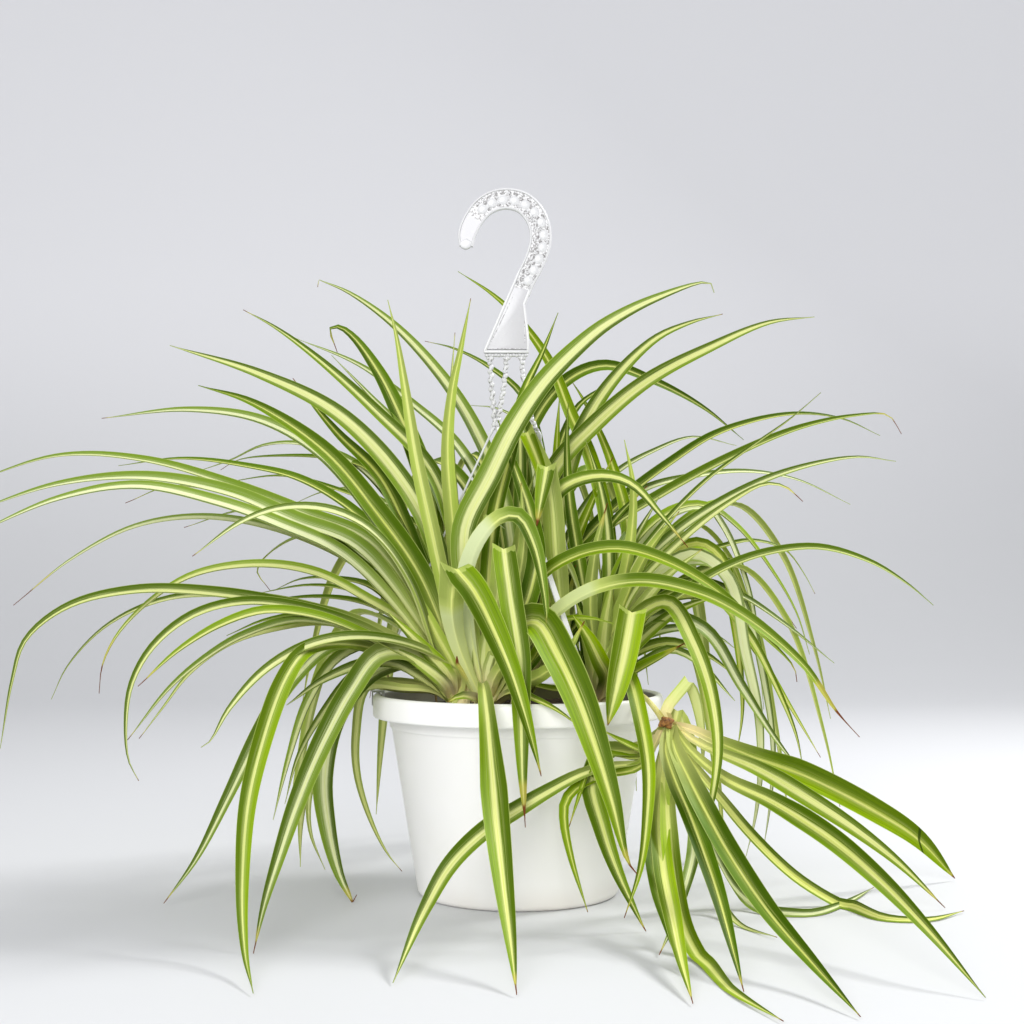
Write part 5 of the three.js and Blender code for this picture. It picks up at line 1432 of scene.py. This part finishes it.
class SPIDER_OT_plantlet(bpy.types.Operator):
    """Grows the young plant that hangs over the rim on its runner"""

    bl_idname = "spider.plantlet"
    bl_label = "Young plant"

    def execute(self, context):
        draw = random.Random(context.scene.spider_leaves.seed + PLANTLET_SEED)
        blades = BladeSet()
        for crown, width, facing, tip, points, given in PLANTLET_LEAVES:
            blades.add(leaf_line(crown, tip, points), width, facing, leaf_character(draw, crown, given))
        dress(blades.make("leaves_plantlet"), "plantlet", leaf_material())
        middle = CROWNS["p"]
        line = [*RUNNER_ROOT, *(sighted(*point) for point in RUNNER_OVER_RIM), middle]
        stem = tube("runner_stem", line, RUNNER_RADII)
        core = tube("core", [middle + Vector(offset) for offset in CORE_LINE], CORE_RADII, sides=16)
        made = join("runner", [stem, core])
        finish_mesh(made)
        dress(made, "plantlet", runner_look())
        return {"FINISHED"}


STUB_LINES = [
    [(92.2, -79, 126.8), (95.2, -80.5, 123.3), (97.2, -83, 119.8)],
    [(89.7, -81, 121.3), (94.2, -81.5, 123.8), (99.7, -81, 124.8)],
    [(93.7, -85, 125.3), (95.2, -80, 123.8), (95.7, -77.5, 126.3)],
]
STUB_RADII = [0.7, 2.6, 3.1, 2.4, 0.6]


class SPIDER_OT_root_stubs(bpy.types.Operator):
    """Adds the dry root stubs of the young plant"""

    bl_idname = "spider.root_stubs"
    bl_label = "Root stubs"

    def execute(self, context):
        colours = context.scene.spider_leaves
        stubs = [tube(f"stub_{i}", line, STUB_RADII, spacing=1) for i, line in enumerate(STUB_LINES)]
        made = join("root_stubs", stubs)
        finish_mesh(made, angle=60)
        look = dry_look("dry_root", colours.dry_root_dark, colours.dry_root_light, 420)
        dress(made, "plantlet_roots", look)
        return {"FINISHED"}


# The dry stalk: its root, the points where it is seen after that, and its forks.
STALK_ROOT = Vector((-58, 16, 118.4))
STALK_RISE = Vector((0, 0, 15.6))
STALK_SEEN = [(-76, 160, 20), (-86, 166, 26), (-91, 158, 30), (-90, 147, 31)]
STALK_RADII = [0.9, 0.8, 0.7, 0.7, 0.7]
FORKS = {
    "fork_left": [(-90, 148, 31), (-93, 143, 31), (-99, 141, 31)],
    "fork_right": [(-90, 148, 31), (-87, 143, 31), (-84, 140, 31)],
}
FORK_RADII = [0.7, 0.5, 0.45]


class SPIDER_OT_dry_stalk(bpy.types.Operator):
    """Adds the dry forked stalk at the left of the rim"""

    bl_idname = "spider.dry_stalk"
    bl_label = "Dry stalk"

    def execute(self, context):
        colours = context.scene.spider_leaves
        line = [STALK_ROOT, STALK_ROOT + STALK_RISE, *(sighted(*point) for point in STALK_SEEN)]
        parts = [tube("stalk", line, STALK_RADII)]
        for name, points in FORKS.items():
            parts.append(tube(name, [sighted(*point) for point in points], FORK_RADII, spacing=1))
        made = join("forked_stalk", parts)
        finish_mesh(made)
        look = dry_look("dry_stem", colours.dry_stem_dark, colours.dry_stem_light, 300)
        dress(made, "dry_stalk", look)
        return {"FINISHED"}


# ---------------------------------------------------------------- hanger

# The middle of the hook from its toe to its neck: across, up, half width.
HOOK_LINE = [
    (-36.2, 447.5, 4.8), (-35.6, 456, 6.4), (-31, 466.5, 7.0), (-24, 475.3, 7.3), (-15.5, 479.9, 7.4),
    (-6.5, 480.9, 7.4), (3, 478.4, 7.5), (10.1, 471.9, 7.6), (14.6, 463, 7.6), (15.9, 453.5, 7.6),
    (14.1, 443.5, 7.6), (9.6, 432.5, 7.4), (4.8, 423.5, 7.2), (1.6, 415, 7.0),
]
HOOK_STEP = 1.2
# Depth of the panel between the raised edges, how far in it starts, and how many steps from the
# toe stay plain.
PANEL_DEPTH = 1.5
PANEL_INSET = 1.6
PLAIN_STEPS = 18
# Flat parts of the hook: outline of across, up, then thickness and rounding.
TOE = ([(-41.2, 450), (-40, 446.6), (-36.6, 445), (-33.2, 446.6), (-31.6, 450), (-36, 453)], 4.6, 1.0)
WEB = ([(-3.2, 419), (-22.6, 375), (6.6, 375), (6.9, 381), (3.8, 407), (7.6, 416.5)], 3.6, 0.3)
RIB_LEFT = ([(0.6, 431.4), (-24.2, 374.6), (-23.6, 372.6), (-21.9, 374), (1.6, 429)], 5, 0.65)
RIB_RIGHT = ([(9.2, 416), (5.0, 406.5), (8.1, 381), (7.6, 373.2), (5.9, 374), (6.1, 381), (3.1, 407),
              (7.1, 417)], 5, 0.65)
BAR = ([(-24, 372.3), (7.6, 372.3), (7.6, 374.5), (-24, 374.5)], 5, 0.8)
# Lines on the web, from end to end, their place in depth, and their height and half width.
WEB_LINES = [((-20.6, 376.2), (-2.2, 415)), ((-20.2, 375.5), (5, 375.5)), ((4.9, 378), (4.4, 396))]
WEB_LINE_DEPTH = 1.75
WEB_LINE_RADII = (0.16, 0.32)
WEB_PANE = 0.85
# Domes along the hook: where the first one is, their spacing and number, and the length over which
# the pattern moves across as the hook turns down.
DOME_START, DOME_STEP, DOMES = 29.5, 8.3, 12
TURN_START, TURN_LENGTH = 58, 22
# What repeats with each dome: kind, length on from the dome, place across, how far that moves at
# the turn, depth, and half length, height and half width.
PATTERN = [
    ("dome", 0, -0.9, 3.0, 1.3, (3.8, 1.0, 3.5)),
    ("mark", 4.3, 4.2, 0.5, 1.5, (1.5, 0.5, 1.0)),
    ("mark", 4.3, -4.1, 0, 1.5, (1.7, 0.5, 1.1)),
    ("mark", 4.3, 1.6, -1.9, 1.5, (1.3, 0.5, 1.5)),
    ("dome", 4.3, -2.2, 0.2, 1.4, (1.0, 0.6, 0.9)),
]
MARK_BEFORE_TURN = ("mark", 0, 3.9, 0, 1.5, (1.9, 0.5, 1.0))
MARK_AFTER_TURN = ("mark", 0.4, -2.3, 0, 1.5, (2.8, 0.55, 1.5))
# How grey the grooves round each kind are, as painted shade.
GREYS = {"dome": 0.1, "mark": 1.7, "web_line": 1.0, "hem_bead": 0.2}
# Beads under the bar, and pairs of them at the tops of the strands: places and half sizes.
HEM_BEADS = np.arange(-21.8, 5.9, 2.1)
HEM_HEIGHT, HEM_STAGGER = 370.9, 0.25
HEM_RADII = (1.5, 1.9, 1.35)
STRAND_TOPS = (-19.3, -7.9, 2.8)
PAIR_HEIGHT, PAIR_HALF = 369, 1.6
PAIR_RADII = (1.2, 1.5, 1.1)
# The beaded strands, from the bar down, and how their beads swell and wander.
STRANDS = [
    [(-19.3, 370.5), (-18.6, 350), (-17, 334), (-16.2, 321.5)],
    [(-7.9, 370.5), (-9.8, 350), (-12.4, 335), (-14.6, 321.5)],
    [(2.8, 370.5), (3.4, 357), (6.6, 345), (8.6, 330), (12.4, 319.5)],
]
STRAND_STEP = 0.5
STRAND_SIDES = 10
BEAD_LENGTH = 3.1
BEAD_WAIST, BEAD_SWELL, BEAD_ROUND = 1.3, 0.5, 1.2
STRAND_SWAY = (0.5, 0.4)
# The straps: the place of the top, and the direction of the clip in degrees.
STRAPS = {
    "left": (Vector((-17, 0, 320.6)), 180),
    "front": (Vector((-13.2, -0.8, 320.4)), -62.5),
    "back": (Vector((13, 0.8, 318.2)), 54),
}
# A strap's section in half widths and mm, and its width from the top down: mm down, share.
STRAP_SECTION = [(-1, -0.35), (-0.85, -0.65), (0.85, -0.65), (1, -0.35), (1, 0.35), (0.85, 0.65),
                 (-0.85, 0.65), (-1, 0.35)]
STRAP_TOP = [(0, 0.9), (1.2, 1.3), (3, 1.45), (5, 1.3), (7, 1.0)]
STRAP_STEPS = 24
STRAP_SWELL = 1.4
# The strap ends this far out and up from the edge of the rim. The clip's outline goes out and up
# from the same edge; after it come its width and rounding. The eyelet has two radii.
STRAP_CLEAR = 1
CLIP = [(1.0, -8.5), (1.0, 1.5), (-7.6, 1.8), (-7.6, -6), (-6.4, -6), (-6, 0.35), (0.35, 0.35),
        (0.35, -8.5)]
CLIP_WIDTH, CLIP_ROUNDING = 7, 0.2
EYELET = (1.5, 0.55)


def swept(name, stations, section):
    """A band in the x-z plane: stations of centre and half width, section of side, mm in, depth."""
    places = []
    for (x, _, z, half), along in zip(stations, unit(np.gradient(stations[:, :3], axis=0))):
        for side, inset, depth in section:
            offset = side * (half - inset)
            places.append((x - along[2] * offset, depth, z + along[0] * offset))
    return object_of(name, places, closed_rings(len(stations), len(section)))


def studs(kind, places):
    """Domes of a kind: places of across, depth, up, turn, half length, height and half width."""
    bpy.ops.object.select_all(action="DESELECT")
    bpy.ops.mesh.primitive_uv_sphere_add(segments=16, ring_count=10, radius=1)
    first = bpy.context.object
    edit_all(first)
    bpy.ops.transform.rotate(value=math.pi / 2, orient_axis="X", center_override=(0, 0, 0))
    bpy.ops.transform.resize(value=(MM, MM, MM), center_override=(0, 0, 0))
    bpy.ops.object.mode_set(mode="OBJECT")
    made = []
    for x, depth, z, turn, *radii in places:
        copy = linked(kind, first.data.copy())
        place = Matrix.Translation((x * MM, depth * MM, z * MM))
        copy.data.transform(place @ Matrix.Rotation(-turn, 4, "Y") @ Matrix.Diagonal((*radii, 1)))
        mark(copy, "recess_shade", GREYS[kind])
        made.append(copy)
    bpy.data.objects.remove(first)
    return made


def hook_band(stations, thickness):
    """The bent band of the hook: raised edges, with a panel between them on both faces."""
    half = thickness / 2
    edge = [(-1, 0, -0.9), (-1, 0.12, -2.0), (-1, 0.5, -half + 0.1), (-1, 1.0, -half),
            (-1, 1.25, -half + 0.15), (-1, 1.5, -2.0), (-1, PANEL_INSET, -PANEL_DEPTH)]
    edge += [(1, inset, depth) for _, inset, depth in reversed(edge)]
    section = edge + [(side, inset, -depth) for side, inset, depth in reversed(edge)]
    band = swept("band", stations, section)
    panel = [float(abs(depth) <= PANEL_DEPTH and inset >= PANEL_INSET) for _, inset, depth in section]
    patterned = [float(i >= PLAIN_STEPS) for i in range(len(stations))]
    mark(band, "recess_shade", [deep * share for share in patterned for deep in panel])
    mark(band, "pane", [deep * (1 - share) * 0.9 for share in patterned for deep in panel])
    return band


def hook_plates():
    """The toe, the web with its ribs and lines, and the bar that the strands hang from."""
    outlines = {"toe": TOE, "web": WEB, "rib_left": RIB_LEFT, "rib_right": RIB_RIGHT, "bar": BAR}
    parts = [prism(name, *outline) for name, outline in outlines.items()]
    mark(parts[1], "pane", WEB_PANE)
    for (x0, z0), (x1, z1) in WEB_LINES:
        turn = math.atan2(z1 - z0, x1 - x0)
        half = math.hypot(x1 - x0, z1 - z0) / 2
        for depth in (-WEB_LINE_DEPTH, WEB_LINE_DEPTH):
            place = ((x0 + x1) / 2, depth, (z0 + z1) / 2, turn, half, *WEB_LINE_RADII)
            parts += studs("web_line", [place])
    return parts


def hook_domes(stations):
    """The rows of light domes and dark diamonds on both faces of the hook; the diamonds' grey is painted
    shade.
    """
    centres = stations[:, :3]
    tangents = unit(np.gradient(centres, axis=0))
    steps = lengths_along(centres)
    spots = {"dome": [], "mark": []}

    def spot(at, offset, depth, *radii):
        """A dome at a length along the hook, off its middle by an offset."""
        x, z = np.interp(at, steps, centres[:, 0]), np.interp(at, steps, centres[:, 2])
        tx, tz = np.interp(at, steps, tangents[:, 0]), np.interp(at, steps, tangents[:, 2])
        return (x - tz * offset, depth, z + tx * offset, math.atan2(tz, tx), *radii)

    for k in range(DOMES):
        at = DOME_START + k * DOME_STEP
        down = min(1, max(0, (at - TURN_START) / TURN_LENGTH))
        last = MARK_AFTER_TURN if down > 0.5 else MARK_BEFORE_TURN
        for face in (-1, 1):
            for kind, on, across, shift, depth, radii in (*PATTERN, last):
                spots[kind].append(spot(at + on, across + shift * down, depth * face, *radii))
    return studs("dome", spots["dome"]) + studs("mark", spots["mark"])


def hook_hem():
    """The beads under the bar, and those at the tops of the strands."""
    stagger = [HEM_STAGGER * (i % 2) for i in range(len(HEM_BEADS))]
    beads = [(x, 0, HEM_HEIGHT + up, 0, *HEM_RADII) for x, up in zip(HEM_BEADS, stagger)]
    for x in STRAND_TOPS:
        beads += [(x + off, 0, PAIR_HEIGHT, 0, *PAIR_RADII) for off in (-PAIR_HALF, PAIR_HALF)]
    return studs("hem_bead", beads)


def strand(number, points):
    """One strand of beads, which wanders a little from side to side."""
    line, steps, _ = smooth_line([(x, 0, z) for x, z in points], STRAND_STEP)
    phase = steps / BEAD_LENGTH * math.pi
    line[:, 0] += STRAND_SWAY[0] * np.sin(phase + number)
    line[:, 1] += STRAND_SWAY[1] * np.cos(phase)
    swell = BEAD_WAIST + BEAD_SWELL * np.abs(np.sin(phase)) ** BEAD_ROUND
    cord = tube(f"strand_{number}", list(line), swell, STRAND_SIDES, STRAND_STEP)
    rings = np.linspace(0, 1, len(cord.data.vertices) // STRAND_SIDES)
    waist = (BEAD_WAIST + BEAD_SWELL - swell) / BEAD_SWELL
    waist = np.interp(rings, np.linspace(0, 1, len(swell)), waist)
    mark(cord, "recess_shade", np.repeat(np.clip(waist, 0, 1) * 1.1, STRAND_SIDES))
    return cord


def ribbon(start, end, side, half):
    """The flat strap from its top to the rim; side is level and across it."""
    reach = (end - start).length
    along = (end - start).normalized()
    across = (side - along * side.dot(along)).normalized()
    out = along.cross(across)
    bare = STRAP_TOP[-1][0]
    steps = [bare + (reach - bare) * k / STRAP_STEPS for k in range(1, STRAP_STEPS + 1)]
    levels = STRAP_TOP + [(step, 1.0) for step in steps]
    places = []
    for far, wide in levels:
        centre = start + along * far
        swell = STRAP_SWELL if wide > 1 else 1
        places += [centre + across * (u * half * wide) + out * (v * swell) for u, v in STRAP_SECTION]
    return object_of("ribbon", places, closed_rings(len(levels), len(STRAP_SECTION)))


def rim_clip(rim, top, angle):
    """The band folded over the rim, turned to its place."""
    clip = prism("clip", [(rim + out, top + up) for out, up in CLIP], CLIP_WIDTH, CLIP_ROUNDING)
    edit_all(clip)
    bpy.ops.transform.rotate(value=-angle, orient_axis="Z", center_override=(0, 0, 0))
    bpy.ops.object.mode_set(mode="OBJECT")
    return clip


def eyelet_at(place):
    """A small round eyelet that faces the front."""
    radius, thick = EYELET
    bpy.ops.object.select_all(action="DESELECT")
    bpy.ops.mesh.primitive_torus_add(
        location=place * MM, rotation=(math.pi / 2, 0, 0), major_segments=24, minor_segments=8,
        major_radius=radius * MM, minor_radius=thick * MM,
    )
    made = bpy.context.object
    bpy.ops.object.transform_apply(location=True, rotation=True, scale=True)
    mark(made, "recess_shade", 0.8)
    return made


class SPIDER_OT_hanger(bpy.types.Operator):
    """Moulds the hook, its gusset and strands, and the three straps with their clips"""

    bl_idname = "spider.hanger"
    bl_label = "Hanger"

    def execute(self, context):
        hanger, pot = context.scene.spider_hanger, context.scene.spider_pot
        look = clear_look()
        stations, _, _ = smooth_line([(x, 0, z, half) for x, z, half in HOOK_LINE], HOOK_STEP)
        parts = [hook_band(stations, hanger.band_thickness / MM), *hook_plates(), *hook_domes(stations)]
        parts += hook_hem()
        parts += [strand(number, points) for number, points in enumerate(STRANDS)]
        made = join("hook", parts)
        finish_mesh(made, angle=40)
        dress(made, "hanger_hook", look)
        rim, top = pot.rim_radius / MM, pot.height / MM
        for name, (start, degrees) in STRAPS.items():
            angle = math.radians(degrees)
            reach = rim + STRAP_CLEAR
            end = Vector((math.cos(angle) * reach, math.sin(angle) * reach, top + STRAP_CLEAR))
            side = Vector((-math.sin(angle), math.cos(angle), 0))
            strap = ribbon(start, end, side, hanger.strap_width / MM / 2)
            made = join(f"strap_{name}_ribbon", [strap, rim_clip(rim, top, angle), eyelet_at(start)])
            finish_mesh(made, angle=40)
            dress(made, f"strap_{name}", look)
        return {"FINISHED"}


# ---------------------------------------------------------------- panel and run

PIECES = (
    SPIDER_OT_stage,
    SPIDER_OT_pot,
    SPIDER_OT_soil,
    SPIDER_OT_rosettes,
    SPIDER_OT_plantlet,
    SPIDER_OT_root_stubs,
    SPIDER_OT_dry_stalk,
    SPIDER_OT_hanger,
)


class SPIDER_PT_panel(bpy.types.Panel):
    """Lists the pieces of the plant"""

    bl_label = "Spider plant"
    bl_idname = "SPIDER_PT_panel"
    bl_space_type = "VIEW_3D"
    bl_region_type = "UI"
    bl_category = "Spider Plant"

    def draw(self, context):
        for piece in PIECES:
            self.layout.operator(piece.bl_idname)


GROUPS = {
    "spider_pot": SpiderPot,
    "spider_leaves": SpiderLeaves,
    "spider_hanger": SpiderHanger,
    "spider_stage": SpiderStage,
}


def register():
    for kind in (*GROUPS.values(), *PIECES, SPIDER_PT_panel):
        bpy.utils.register_class(kind)
    for name, kind in GROUPS.items():
        setattr(bpy.types.Scene, name, bpy.props.PointerProperty(type=kind))


def unregister():
    for name in GROUPS:
        delattr(bpy.types.Scene, name)
    for kind in (SPIDER_PT_panel, *reversed(PIECES), *GROUPS.values()):
        bpy.utils.unregister_class(kind)


def main():
    register()
    for piece in PIECES:
        group, name = piece.bl_idname.split(".")
        getattr(getattr(bpy.ops, group), name)()


if __name__ == "__main__":
    main()
